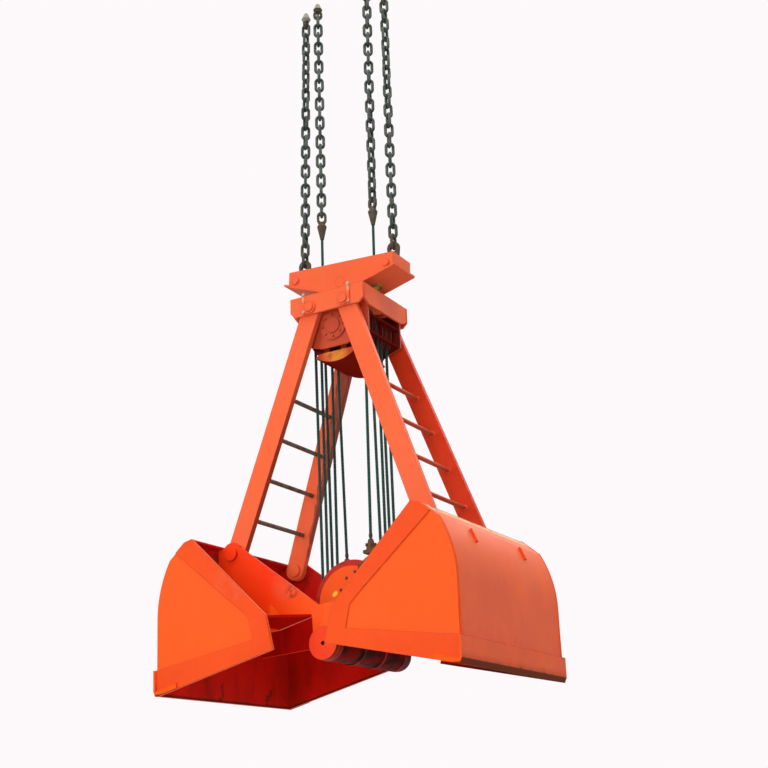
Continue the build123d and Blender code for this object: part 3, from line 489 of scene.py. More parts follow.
RIGHT_LOCK_TOP = ((LOCK_X, -LOCK_FACE_Y, HEAD_FOOT_Z + 0.185), 0.075)
LEFT_LOCK_TOP = ((-LOCK_X, -LOCK_FACE_Y, HEAD_FOOT_Z + 0.185), 0.075)
ARM_SHADE = (-1.30, -0.45)
ARM_SOOT_AND_SHADE = (-0.072, -0.058)
CONE_EDGE = (-0.004, 0.012)
CLOSING_CONE_Z = 0.02
HOLDING_CONE_Z = -0.072
CHAIN_RUST = (0.25, 0.75)
ROPE_SHADE_FOOT = (-0.22, -0.12)
ROPE_SHADE_TOP = (0.38, 0.42)
SHEAVE_RIM = (0.235, 0.262)
SHEAVE_THROW = (0.10, 0.26)


# Finishes


def painted(name, fresh=ORANGE, faded=FADED_ORANGE, fading=0.5, grime=0.12, chips=0.3, dust=0.3, extra=None,
            shine=PAINT_SHINE):
    """Weathered paint: broad fading, faint rain streaks, dust on top, rust along the edges."""
    f = Finish(name)
    broad = f.noise(0.9, 3.0)
    mottle = f.noise(7.0, 6.0, 0.6)
    fine = f.noise(85.0, 4.0, 0.6)
    peel = f.noise(420.0, 2.0)
    runs = f.noise(1.0, 5.0, 0.6, f.stretched((16, 16, 0.8)))
    edge = f.edges(EDGE_WEAR)
    fade = broad.above(0.35, 0.7) * 0.6 + mottle.above(0.4, 0.75) * 0.4
    colour = f.mix(fade * fading, fresh, faded)
    upward = f.faces((0, 0, 1)).above(0.45, 0.95)
    colour = f.mix(upward * dust * (0.4 + 0.6 * mottle), colour, DUST)
    soot = runs.above(0.54, 0.80) * (0.35 + 0.65 * fine) * grime
    colour = f.mix(soot, colour, GRIME)
    wear = mottle * 0.45 + fine * 0.4 + edge * 0.42
    chip = wear.above(0.78 - 0.12 * chips, 0.86 - 0.12 * chips) * (0.25 + 0.65 * edge)
    if extra is not None:
        colour, chip = extra(f, colour, chip, mottle, fine)
    rust = f.mix(fine, DARK_RUST, RUST)
    colour = f.mix(chip, colour, rust)
    rough = 0.36 + 0.22 * broad + 0.3 * chip + 0.14 * soot
    bump = peel * 0.10 + fine * 0.18 - chip * 0.6 + mottle * 0.3
    return f.finish(colour, rough.clamped(), bump, PAINT_RELIEF, shine=shine)


def shaded_scratched_inside(centre):
    """Shell wall: its inner face painted deep red as the shade inside the hollow, with patches of darker
    shade, dark along the mouth, and faint scratches.
    """
    def extra(f, colour, chip, mottle, fine):
        inside = f.inside_of(centre)
        # Painted shade: deep red on the faces towards the hollow, in darker streaks and patches
        shade_streaks = f.noise(1.0, 5.0, 0.65, f.stretched((4, 4, 1.2), (0, 0.5, 0)))
        inside_shade = f.mix(shade_streaks.above(0.42, 0.70) * 0.6, INSIDE_SHADE_RED, DEEP_SHADE_RED)
        spots = f.noise(3.6, 5.0, 0.6).above(0.60, 0.66)
        inside_shade = f.mix(spots * 0.8, inside_shade, SHADED_RED)
        colour = f.mix(inside * 0.97, colour, inside_shade)
        ragged = f.inward() + 0.02 * (mottle - 0.5)
        rim = inside * f.outward().above(*CLEAR_OF_HINGE) * ragged.below(*MOUTH_RIM)
        colour = f.mix(rim * 0.85, colour, EDGE_SHADE)
        scratch = f.noise(1.0, 3.0, 0.5, f.stretched((7, 7, 150), (0, 0.35, 0)))
        return f.mix(scratch.above(0.66, 0.74) * 0.08, colour, SCUFF), chip
    return extra


def scuffed_back(centre):
    """Back plate: orange flanks, dulled low down by the heap, a few scratches, dirt left along the ridge."""
    walls = shaded_scratched_inside(centre)

    def extra(f, colour, chip, mottle, fine):
        colour, chip = walls(f, colour, chip, mottle, fine)
        flank = f.faces_across().above(0.5, 0.8)
        colour = f.mix(flank, colour, BAND_ORANGE)
        outside = 1 - f.inside_of(centre)
        height = f.height(HINGE_Z)
        low = height.below(*BACK_RUB)
        rubbed = f.noise(1.0, 6.0, 0.7, f.stretched((2.4, 2.4, 1.8)))
        colour = f.mix(outside * (0.05 + 0.85 * low) * rubbed.above(0.10, 0.70), colour, SCUFF)
        scored = f.noise(1.0, 2.0, 0.5, f.stretched((60, 30, 2.5), (0.12, 0, 0)))
        colour = f.mix(outside * scored.above(0.72, 0.78) * (0.05 + 0.12 * low), colour, GRIME)
        gouged = f.noise(1.0, 2.0, 0.5, f.stretched((3, 3, 90), (0.2, 0.1, 0)))
        colour = f.mix(outside * gouged.above(0.68, 0.74) * 0.16, colour, DUST)
        ridge = outside * (height + 0.03 * (mottle - 0.5)).above(*RIDGE_DIRT)
        crest = (height + 0.02 * (mottle - 0.5)).above(*CREST_DIRT)
        dirt = f.mix((mottle.above(0.58, 0.68) + crest * 0.7).clamped(), PALE_CREAM, DARK_RUST)
        caked = 0.55 + 0.45 * f.noise(9.0, 6.0, 0.7).above(0.36, 0.58)
        return f.mix(ridge * caked, colour, dirt), chip
    return extra


def rubbed_lip(centre):
    """Lip bar: scuffed like the back, orange at its ends, ragged rust along the cutting edge."""
    back = scuffed_back(centre)

    def extra(f, colour, chip, mottle, fine):
        colour, chip = back(f, colour, chip, mottle, fine)
        end = f.faces_across().above(0.5, 0.8)
        cheek = f.along((0, 1, 0)).math("ABSOLUTE").above(*LIP_CHEEK) * f.inside_of(centre)
        colour = f.mix((end + cheek).clamped(), colour, ORANGE)
        height = f.height(HINGE_Z)
        haze = (1 - end) * (height + 0.05 * (mottle - 0.5)).below(*LIP_HAZE)
        colour = f.mix(haze * 0.6, colour, EDGE_RUST)
        ragged = height + 0.16 * (mottle - 0.5) + 0.05 * (fine - 0.5)
        rusted = (1 - end) * ragged.below(*LIP_RUST) + height.below(*LIP_EDGE)
        under = f.faces((0, 0, -1)).above(0.10, 0.35)
        bare = (rusted + under).clamped()
        return f.mix(bare * 0.9, colour, f.mix(fine, EDGE_SHADE, EDGE_RUST)), chip * (1 - 0.7 * end)
    return extra


def worn_band(f, colour, chip, mottle, fine):
    """Doubler bands: rub marks beside the left arm's foot."""
    rub = f.near(*BAND_RUB) * mottle.above(0.40, 0.60)
    return f.mix(rub * 0.5, colour, SCUFF), chip


def shaded_greased_rim(f, colour, chip, mottle, fine):
    """Round edges at the hinge: painted deep red shade, black with thrown grease towards the back."""
    rim = f.axle_gap(HINGE_Z).below(*HINGE_RIM) * f.faces_across().below(0.4, 0.8)
    back = f.along((0, 1, 0)).above(*GREASED_BACK)
    return f.mix(rim * 0.92, colour, f.mix(back * 0.8, DEEP_SHADE_RED, GREASE)), chip * (1 - rim)


def smeared_rib(centre):
    """Ribs: deep red painted shade towards the hollow, orange at the hinge, dirt on the top edge, grease at
    the pins.
    """
    walls = shaded_scratched_inside(centre)

    def extra(f, colour, chip, mottle, fine):
        hinge = f.near(*RIB_HINGE)
        colour = f.mix(hinge * 0.75, colour, ORANGE)
        colour, chip = walls(f, colour, chip, mottle, fine)
        brown = f.near(*RIB_RUB)
        colour = f.mix(brown * mottle.above(0.36, 0.60) * 0.40, colour, SCUFF)
        wiped = f.near(*RIB_WIPE)
        colour = f.mix(wiped * f.noise(22.0, 6.0, 0.7).above(0.42, 0.58) * 0.75, colour, ROPE_SOOT)
        pins = f.near(*RIGHT_PIN_GREASE) + f.near(*LEFT_PIN_GREASE)
        colour = f.mix((pins * mottle.above(0.40, 0.58) * 0.8).clamped(), colour, GREASE)
        return shaded_greased_rim(f, colour, chip, mottle, fine)
    return extra


def shaded_underneath(f, colour, chip, mottle, fine):
    """Tie plates: painted deep red shade up to their top face, only the gussets that stand on them orange."""
    return f.mix(f.inward().below(*TIE_FACE), colour, f.mix(mottle, INSIDE_SHADE_RED, DEEP_SHADE_RED)), chip


def greased_block(f, colour, chip, mottle, fine):
    """Block plates: a dab of amber grease, a dark wipe, deep red painted shade low down with black grease
    there.
    """
    amber = f.near(*LOW_DAB) + f.near(*HIGH_DAB)
    wipe = f.near(*BLOCK_WIPE) * mottle.above(0.40, 0.62)
    colour = f.mix(wipe * 0.5, colour, GRIME)
    colour = f.mix(amber.clamped(), colour, AMBER_GREASE)
    low = f.height(HINGE_Z).below(*BLOCK_GREASE)
    colour = f.mix(low * 0.85, colour, DEEP_SHADE_RED)
    return f.mix(low * mottle.above(0.42, 0.62) * 0.9, colour, GREASE), chip


def greased_barrel(f, colour, chip, mottle, fine):
    """Hinge barrel: black with thrown grease underneath."""
    low = f.faces((0, 0, -1)).above(-0.5, 0.5)
    return f.mix(low * mottle.above(0.40, 0.56) * 0.85, colour, GREASE), chip


def yellow_patch_and_shade(f, colour, chip, mottle, fine):
    """Guard: a yellow patch on its near end, painted deep red shade underneath, and a dark band of painted
    shade along its top tabs.
    """
    under = f.faces((0, 0, -1)).above(0.25, 0.75)
    colour = f.mix(under * 0.9, colour, DEEP_SHADE_RED)
    old = f.near(*GUARD_YELLOW_PATCH) * f.noise(6.0, 5.0, 0.6).above(0.34, 0.56)
    colour = f.mix(old * (1 - under) * 0.9, colour, GUARD_YELLOW)
    tab_shade = f.height(UPPER_AXLE_Z).above(*GUARD_TAB_SHADE)
    return f.mix(tab_shade * 0.92, colour, SHADED_RED), chip * (1 - tab_shade)


def shaded_inside(f, colour, chip, mottle, fine):
    """Bearing plates: painted shade on the sides that face the sheaves."""
    return f.mix(f.inside_of(HEAD_HOLLOW) * 0.92, colour, SHADED_RED), chip


def pale_lock_bars(f, colour, chip, mottle, fine):
    """Top pins: lock bars pale at their upper ends."""
    tops = f.near(*RIGHT_LOCK_TOP) + f.near(*LEFT_LOCK_TOP)
    return f.mix(tops.clamped() * 0.75, colour, PALE_CREAM), chip


def shaded_inner_side(f, colour, chip, mottle, fine):
    """Near left arm: painted shade in dull red on the side towards the ropes, more so downwards."""
    side = f.faces((1, 0, 0)).above(0.55, 0.85)
    low = f.height(HEAD_PIN_Z).below(*ARM_SHADE)
    return f.mix(side * (0.20 + 0.45 * low), colour, DEEP_SHADE_RED), chip


def sooted_and_shaded_side(f, colour, chip, mottle, fine):
    """Far left arm: brown with grease thrown by the falls and with painted shade, in ragged patches that thin
    out downwards.
    """
    crown = (-ARM_CROWN_X, ARM_CROWN_Y, HEAD_PIN_Z)
    slope = Vector((ARM_CROWN_X - ARM_FOOT_X, 0, ARM_FOOT_Z - HEAD_PIN_Z)).normalized()
    down = f.along(tuple(slope), crown)
    across = f.along((-slope.z, 0, slope.x), crown)
    ragged = f.noise(6.0, 4.0, 0.6, f.stretched((1, 1, 0.6)))
    # The brown patch stands for rope grease and painted shade together
    soot = (across - 0.078 * down + 0.15 * (ragged - 0.5)).above(*ARM_SOOT_AND_SHADE)
    return f.mix(soot * 0.92, colour, f.mix(mottle * 0.5, ROPE_SOOT, SCUFF)), chip


def steel(name, clean, rust_share=0.4, grease=0.0, gloss=0.42, metal=0.55, scale=60.0, rust=RUST,
          pale_above=None):
    """Bare steel: patches of rust, fine pits, thin dark grease, and a pale cone above a height."""
    f = Finish(name)
    patch = f.noise(scale * 0.22, 6.0, 0.65)
    pits = f.noise(scale * 3.5, 4.0, 0.6)
    streak = f.noise(1.0, 3.0, 0.5, f.stretched((scale, scale, scale * 5)))
    rusty = (patch * 0.7 + pits * 0.3).above(0.62 - 0.36 * rust_share, 0.74 - 0.36 * rust_share)
    colour = f.mix(streak * 0.35, clean, f.mix(pits, clean, DARK_RUST))
    colour = f.mix(rusty, colour, f.mix(pits, DARK_RUST, rust))
    smear = f.noise(scale * 0.12, 4.0).above(0.62 - 0.5 * grease, 0.75 - 0.5 * grease)
    film = smear * min(1.0, grease * 2)
    colour = f.mix(film * 0.85, colour, GREASE)
    if pale_above is not None:
        cone = f.height(pale_above).above(*CONE_EDGE)
        colour = f.mix(cone * (0.25 + 0.60 * patch), colour, PALE_STEEL)
    rough = (gloss + 0.35 * rusty - 0.14 * film + 0.12 * pits).clamped()
    metallic = (metal * (1 - rusty) * (1 - film)).clamped()
    return f.finish(colour, rough, pits * 0.5 + patch * 0.6 - streak * 0.2, STEEL_RELIEF, metallic)


def chain_links(name):
    """Dark green-grey welded chain: olive rust near the beam, pale where the light falls on it."""
    f = Finish(name)
    patch = f.noise(11.0, 5.0, 0.65)
    pits = f.noise(260.0, 4.0, 0.6)
    low = f.height(PIVOT_Z).below(*CHAIN_RUST)
    rusty = (patch * 0.75 + pits * 0.25 + low * 0.20).above(0.56, 0.72)
    colour = f.mix((pits * 0.5 + patch * 0.7).above(0.45, 0.75), CHAIN_GREEN, CHAIN_PALE)
    colour = f.mix(rusty * 0.75, colour, f.mix(pits, DARK_RUST, OLIVE_RUST))
    lit = f.faces((-0.5, -0.5, 0.7)).above(0.55, 0.95)
    colour = f.mix(lit * 0.40, colour, PALE_STEEL)
    rough = (0.50 + 0.3 * rusty + 0.1 * pits).clamped()
    metallic = (0.20 - 0.2 * rusty).clamped()
    return f.finish(colour, rough, pits * 0.5 + patch * 0.4, CHAIN_RELIEF, metallic, CHAIN_SHINE)


def rope_wire(name):
    """Greased wire rope: single wires along the strands, green-black with a dull shine, dark in the head."""
    f = Finish(name)
    wires = f.noise(1.0, 2.0, 0.4, f.stretched((420, 420, 70)))
    patch = f.noise(5.0, 4.0, 0.6)
    colour = f.mix(wires.above(0.28, 0.58), GREASE, ROPE_GREEN)
    colour = f.mix(patch.above(0.58, 0.78) * 0.3, colour, OLIVE_RUST)
    colour = f.mix(wires.above(0.60, 0.74) * 0.40, colour, ROPE_PALE)
    height = f.height(UPPER_AXLE_Z)
    shaded = height.above(*ROPE_SHADE_FOOT) * height.below(*ROPE_SHADE_TOP)
    colour = f.mix(shaded * 0.92, colour, GREASE)
    rough = (0.42 + 0.3 * patch).clamped()
    return f.finish(colour, rough, wires, ROPE_RELIEF, (0.25 * wires).clamped(), ROPE_SHINE)


def sheave_paint(name, axle_z, web):
    """Sheaves: dark red webs, black grease in the groove, rim polished by the rope."""
    f = Finish(name)
    mottle = f.noise(9.0, 6.0, 0.6)
    fine = f.noise(95.0, 4.0, 0.6)
    groove = f.faces_across().below(0.30, 0.85)
    radius = f.axle_gap(axle_z)
    outer = radius.above(*SHEAVE_RIM)
    edge = f.edges(EDGE_WEAR)
    colour = f.mix(mottle.above(0.45, 0.75) * 0.4, web, SHADED_RED)
    thrown = radius.above(*SHEAVE_THROW) * mottle.above(0.50, 0.68) * 0.5
    colour = f.mix(thrown, colour, GREASE)
    greased = groove * outer
    colour = f.mix(greased * (0.75 + 0.25 * fine), colour, GREASE)
    rim = edge * outer
    colour = f.mix(rim * 0.30 * fine.above(0.3, 0.6), colour, GREY_STEEL)
    rough = (0.42 + 0.2 * mottle - 0.12 * greased + 0.15 * thrown).clamped()
    bump = mottle * 0.4 + fine * 0.25
    return f.finish(colour, rough, bump, SHEAVE_RELIEF, (rim * 0.4).clamped(), SHEAVE_SHINE)


def dress(finish, *names):
    """Give CAD nodes a finish, and return it."""
    for name in names:
        nodes[name].data.materials.clear()
        nodes[name].data.materials.append(finish)
    return finish


WALL_COAT = dict(fading=0.30, grime=0.06, chips=0.25)
BACK_COAT = dict(fresh=BACK_ORANGE, faded=FADED_ORANGE, fading=0.4, grime=0.04, chips=0.4, dust=0.0)
FRAME_COAT = dict(fresh=SALMON, faded=PALE_SALMON, fading=0.60, grime=0.10, chips=0.30, dust=0.35,
                  shine=FRAME_SHINE)
BEARING_COAT = dict(fresh=BEARING_RED, faded=SALMON, fading=0.25, grime=0.30, chips=0.4, dust=0.35)
SOCKET_STEEL = dict(clean=BROWN_STEEL, rust_share=0.60, grease=0.10, gloss=0.55, metal=0.1, rust=OLIVE_RUST)

for side, hollow in (("left", LEFT_HOLLOW), ("right", RIGHT_HOLLOW)):
    walls = painted(side + "_shell_paint", **WALL_COAT, extra=shaded_scratched_inside(hollow))
    dress(walls, f"shell_{side}_sides")
    back = painted(side + "_back_paint", **BACK_COAT, extra=scuffed_back(hollow), shine=BACK_SHINE)
    dress(back, f"shell_{side}_back")
    lip = painted(side + "_lip_paint", **BACK_COAT, extra=rubbed_lip(hollow), shine=LIP_SHINE)
    dress(lip, f"shell_{side}_lip")
dress(painted("left_rib_paint", RIB_RED, ORANGE, fading=0.25, grime=0.08, chips=0.35, dust=0.15,
              extra=smeared_rib(LEFT_HOLLOW)), "shell_left_ribs")
dress(painted("right_rib_paint", ORANGE, BAND_ORANGE, fading=0.45, grime=0.10, chips=0.35, dust=0.15,
              extra=smeared_rib(RIGHT_HOLLOW)), "shell_right_ribs")
dress(painted("band_paint", BAND_ORANGE, ORANGE, fading=0.55, grime=0.10, chips=0.35, dust=0.35,
              extra=worn_band), "shell_left_doublers", "shell_right_doublers")
dress(painted("tie_paint", ORANGE, RIB_RED, fading=0.60, grime=0.10, chips=0.10, dust=0.0,
              extra=shaded_underneath, shine=NO_SHINE), "shell_left_ties", "shell_right_ties")
dress(painted("hinge_cap_paint", CAP_RED, ORANGE, fading=0.4, grime=0.2, chips=0.35, dust=0.3,
              extra=shaded_greased_rim), "shell_right_hinge_caps")
dress(painted("beam_paint", SALMON, PALE_SALMON, fading=0.70, grime=0.12, chips=0.35, dust=0.40,
              shine=FRAME_SHINE), "balance_beam", "beam_pins")
frame_paint = dress(painted("frame_paint", **FRAME_COAT),
                    "head_sides", "head_ends", "head_hangers", "arm_right_near")
dress(painted("near_arm_paint", **FRAME_COAT, extra=shaded_inner_side), "arm_left_near")
# The far right arm is painted a darker red than the near arms, as shade
dress(painted("shaded_far_arm_paint", FAR_SHADE_RED, BAND_ORANGE, fading=0.55, grime=0.10, chips=0.30, dust=0.35,
              shine=FRAME_SHINE), "arm_right_far")
dress(painted("sooted_shaded_arm_paint", SALMON, BAND_ORANGE, fading=0.60, grime=0.10, chips=0.30, dust=0.35,
              extra=sooted_and_shaded_side), "arm_left_far")
dress(painted("pin_paint", SALMON, BAND_ORANGE, fading=0.40, grime=0.20, chips=0.45, dust=0.35,
              extra=pale_lock_bars), "arm_top_pins", "arm_left_eye_pins", "arm_right_eye_pins")
dress(painted("block_paint", ORANGE, BAND_ORANGE, fading=0.5, grime=0.15, chips=0.35, dust=0.3,
              extra=greased_block), "block_sides")
# The hinge barrel's dark red is painted shade
dress(painted("barrel_paint", DEEP_SHADE_RED, SHADED_RED, fading=0.6, grime=0.3, chips=-1.0, dust=0.0,
              extra=greased_barrel, shine=BARREL_SHINE), "hinge_pins")
dress(painted("bearing_paint", **BEARING_COAT, extra=shaded_inside), "bearing_plates")
dress(painted("dull_red_paint", **BEARING_COAT), "bearing_covers", "arm_right_rungs")
dress(painted("guard_paint", BEARING_RED, SALMON, fading=0.4, grime=0.2, chips=0.4, dust=0.3,
              extra=yellow_patch_and_shade, shine=NO_SHINE), "sheave_guard")
weld_paint = painted("weld_paint", BAND_ORANGE, FADED_ORANGE, fading=0.5, grime=0.10, chips=0.10, dust=0.3)

dress(steel("axle_steel", GREY_STEEL, rust_share=0.45, grease=0.35), "upper_axle", "lower_axle")
dress(steel("brown_rung_steel", RUNG_BROWN, rust_share=0.40, grease=0.05, gloss=0.5, metal=0.2),
      "arm_left_rungs")
dress(steel("closing_socket_steel", **SOCKET_STEEL, pale_above=CLOSING_CONE_Z), "closing_sockets")
dress(steel("holding_socket_steel", **SOCKET_STEEL, pale_above=HOLDING_CONE_Z), "holding_sockets")
dress(steel("connector_steel", BROWN_STEEL, rust_share=0.65, grease=0.10, gloss=0.55, metal=0.1,
            rust=OLIVE_RUST), "holding_connectors")
dress(steel("bronze_bush", BRONZE, rust_share=0.10, grease=0.35, gloss=0.35, metal=0.9),
      "shell_left_bushes", "shell_right_bushes")
dress(steel("guide_iron", OLIVE_RUST, rust_share=0.5, grease=0.25, gloss=0.5, metal=0.2, rust=AMBER_GREASE),
      "rope_guides")
anchor_steel = dress(steel("rusty_anchor_steel", DARK_RUST, rust_share=0.7, grease=0.20, gloss=0.5,
                           metal=0.1), "rope_anchors")
lock_bolt_steel = steel("lock_bolt_steel", PALE_STEEL, rust_share=0.30, grease=0.05, gloss=0.5, metal=0.2,
                        scale=140.0)
bolt_steel = steel("bolt_steel", DARK_RUST, rust_share=0.5, grease=0.35, gloss=0.45, metal=0.3, scale=140.0)

dress(chain_links("chain_steel"),
      "holding_chain_left", "holding_chain_right", "closing_chain_left", "closing_chain_right")
wire_rope = dress(rope_wire("wire_rope"), "closing_rope_tops", "upper_rope_wraps", "lower_rope_wraps",
                  "rope_leads", "rope_falls", "rope_tails")
# The upper sheaves' webs are painted darker red than the lower ones, as shade inside the head
for level, axle_z, web in (("upper", UPPER_AXLE_Z, DEEP_SHADE_RED), ("lower", LOWER_AXLE_Z, SHEAVE_RED)):
    sheaves = [f"{level}_sheave_{count}" for count in (1, 2, 3, 4)]
    dress(sheave_paint(level + "_sheave_paint", axle_z, web), *sheaves)


# Modelling by hand


def deselect():
    bpy.ops.object.select_all(action="DESELECT")


def choose(*pieces):
    """Select these pieces alone, the last one active."""
    deselect()
    for piece in pieces:
        piece.select_set(True)
    bpy.context.view_layer.objects.active = pieces[-1]


def settle():
    """Keep the place, turn and size of the active piece in its mesh."""
    bpy.ops.object.transform_apply(location=True, rotation=True, scale=True)
    return bpy.context.object


def made(add, **shape):
    """A new piece of a plain shape, selected alone."""
    deselect()
    add(**shape)
    return settle()


def edit_all():
    bpy.ops.object.mode_set(mode="EDIT")
    bpy.ops.mesh.select_all(action="SELECT")


def leave_outwards():
    """Turn every face of the edited mesh outwards and leave it."""
    bpy.ops.mesh.select_all(action="SELECT")
    bpy.ops.mesh.normals_make_consistent(inside=False)
    bpy.ops.object.mode_set(mode="OBJECT")


def close_ends(piece):
    """Merge doubles, fill the open ends and turn every face outwards."""
    choose(piece)
    edit_all()
    bpy.ops.mesh.remove_doubles(threshold=SAME_POINT)
    bpy.ops.mesh.fill_holes(sides=0)
    leave_outwards()


def set_down(piece, place, turn=None):
    """Move a piece that was modelled at the origin to its place, and keep the place in its mesh."""
    choose(piece)
    turned = turn.to_matrix().to_4x4() if turn else Matrix.Identity(4)
    piece.matrix_world = Matrix.Translation(place) @ turned
    return settle()


def copy_of(piece):
    choose(piece)
    bpy.ops.object.duplicate(linked=False)
    return bpy.context.object


def gathered(name, pieces, finish, body, angle=SMOOTH_ANGLE):
    """Join pieces into one, dress it and let it ride."""
    choose(*pieces)
    bpy.ops.object.join()
    piece = bpy.context.object
    piece.name = piece.data.name = name
    bpy.ops.object.shade_smooth_by_angle(angle=math.radians(angle))
    piece.data.materials.clear()
    piece.data.materials.append(finish)
    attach(piece, body)
    return piece


def upright(direction):
    """Turn that lays the Z axis along a direction."""
    return Vector(direction).to_track_quat("Z", "Y")


# Stranded ropes


def twisted_rope(length):
    """Six strands laid round each other, standing up from the origin."""
    rope = made(bpy.ops.mesh.primitive_circle_add, vertices=STRAND_SIDES, radius=STRAND_RADIUS,
                location=(STRAND_CIRCLE, 0, 0))
    edit_all()
    for _ in range(STRANDS - 1):
        bpy.ops.mesh.duplicate()
        bpy.ops.transform.rotate(value=STRAND_TURN, orient_axis="Z", center_override=(0, 0, 0))
    bpy.ops.object.mode_set(mode="OBJECT")
    bpy.ops.object.modifier_add(type="SCREW")
    lay = rope.modifiers[-1]
    turns = length / ROPE_LAY
    lay.angle = 2 * math.pi * turns
    lay.screw_offset = length
    lay.iterations = 1
    lay.steps = lay.render_steps = round(turns * LAY_STEPS)
    bpy.ops.object.modifier_apply(modifier=lay.name)
    close_ends(rope)
    return rope


def rope_run(high, low):
    """A straight rope between two places."""
    high, low = Vector(high), Vector(low)
    return set_down(twisted_rope((high - low).length), low, upright(high - low))


def half_turn(radius):
    """Rope bent over the top of a sheave whose axle is at the origin."""
    rope = twisted_rope(math.pi * radius)
    choose(rope)
    bpy.ops.object.modifier_add(type="SIMPLE_DEFORM")
    bend = rope.modifiers[-1]
    bend.deform_method = "BEND"
    bend.deform_axis = "Y"
    bend.angle = math.pi
    bpy.ops.object.modifier_apply(modifier=bend.name)
    return set_down(rope, (-radius, 0, 0))


def rope_strands(name, runs, body, node):
    """One piece of rope that stands in for a node."""
    piece = gathered(name, runs, wire_rope, body, ROPE_SMOOTH_ANGLE)
    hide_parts(node)
    return piece


def reeve():
    """Two closing ropes: down, round the lower sheaves, up, over the upper ones and back to the block."""
    leads, falls, tails = [], [], []
    for side in (-1, 1):
        leads.append(rope_run((-side * LEAD_X, 0, PIVOT_Z),
                              (-side * LOWER_R, side * LOWER_ROWS[0], LOWER_AXLE_Z)))
        # Each fall has a side, a row above and a row below
        for across, high, low in ((side, 0, 0), (-side, 0, 1), (side, 1, 1)):
            falls.append(rope_run((across * UPPER_R, side * UPPER_ROWS[high], UPPER_AXLE_Z),
                                  (across * LOWER_R, side * LOWER_ROWS[low], LOWER_AXLE_Z)))
        tails.append(rope_run((-side * UPPER_R, side * UPPER_ROWS[1], UPPER_AXLE_Z),
                              (-side * LOWER_R, side * ANCHOR_Y, TAIL_END_Z)))
    for name, runs, node, keep, top in (("lead_strands", leads, "rope_leads", LEADS_KEEP, PIVOT_Z),
                                        ("fall_strands", falls, "rope_falls", FALLS_KEEP, UPPER_AXLE_Z),
                                        ("tail_strands", tails, "rope_tails", TAILS_KEEP, UPPER_AXLE_Z)):
        piece = rope_strands(name, runs, "head", node)
        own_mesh(piece)

    over = half_turn(UPPER_R)
    wraps = [set_down(copy_of(over), (0, side * row, UPPER_AXLE_Z)) for side in (-1, 1) for row in UPPER_ROWS]
    bpy.data.objects.remove(over)
    rope_strands("upper_wrap_strands", wraps, "head", "upper_rope_wraps")

    under = half_turn(LOWER_R)
    wraps = [set_down(copy_of(under), (0, side * row, LOWER_AXLE_Z), upright((0, 0, -1)))
             for side in (-1, 1) for row in LOWER_ROWS]
    bpy.data.objects.remove(under)
    rope_strands("lower_wrap_strands", wraps, "block", "lower_rope_wraps")

    tops = []
    for side, lean in ((-1, LEFT_LEAN), (1, RIGHT_LEAN)):
        pivot = Vector((side * LEAD_X, 0, PIVOT_Z))
        line = Vector((math.sin(lean), 0, math.cos(lean)))
        tops.append(rope_run(pivot + line * ROPE_TOP, pivot - line * ROPE_LAP))
    rope_strands("closing_rope_strands", tops, "beam", "closing_rope_tops")


reeve()


# Weld beads


def bead(start, end, radius=BEAD_RADIUS):
    """One run of weld, rippled along its length."""
    start, end = Vector(start), Vector(end)
    run = end - start
    count = round(run.length / BEAD_RIPPLE)
    pitch = run.length / count
    crest = pitch * BEAD_CREST
    weld = made(bpy.ops.mesh.primitive_cylinder_add, vertices=BEAD_SIDES, radius=radius * BEAD_FOOT,
                depth=pitch, end_fill_type="NOTHING", location=(0, 0, pitch / 2))
    edit_all()
    bpy.ops.mesh.bisect(plane_co=(0, 0, crest), plane_no=(0, 0, 1))
    bpy.ops.transform.resize(value=(BEAD_SWELL, BEAD_SWELL, 1), center_override=(0, 0, crest))
    bpy.ops.object.mode_set(mode="OBJECT")
    bpy.ops.object.modifier_add(type="ARRAY")
    ripples = weld.modifiers[-1]
    ripples.count = count
    ripples.relative_offset_displace = (0, 0, 1)
    ripples.use_merge_vertices = True
    bpy.ops.object.modifier_apply(modifier=ripples.name)
    close_ends(weld)
    return set_down(weld, start, upright(run))


def beads(points, radius=BEAD_RADIUS):
    """Weld from point to point."""
    return [bead(start, end, radius) for start, end in zip(points, points[1:])]


def shell_point(side, along, inward, across):
    """A point of a shell, measured from its hinge along the mouth and in from it."""
    dip_cos, dip_sin = math.cos(MOUTH_DIP), math.sin(MOUTH_DIP)
    return Vector((side * (along * dip_cos + inward * dip_sin), across,
                   HINGE_Z - along * dip_sin + inward * dip_cos))


def shell_seam(side, seam, across, radius=BEAD_RADIUS):
    """Weld along a seam of a shell."""
    return beads([shell_point(side, along, inward, across) for along, inward in seam], radius)


def arc_points(start, heading, end, count):
    """Points on the arc that leaves start at a heading and reaches end."""
    chord = math.atan2(end[1] - start[1], end[0] - start[0])
    half = chord - heading
    radius = math.dist(start, end) / 2 / math.sin(half)
    centre = (start[0] - radius * math.sin(heading), start[1] + radius * math.cos(heading))
    turns = [heading + 2 * half * step / count for step in range(count + 1)]
    return [(centre[0] + radius * math.sin(turn), centre[1] - radius * math.cos(turn)) for turn in turns]


def beam_point(along, rise, across):
    """A point of the tilted beam, measured from its pivot."""
    tilt_cos, tilt_sin = math.cos(BEAM_TILT), math.sin(BEAM_TILT)
    return Vector((along * tilt_cos + rise * tilt_sin, across, PIVOT_Z - along * tilt_sin + rise * tilt_cos))


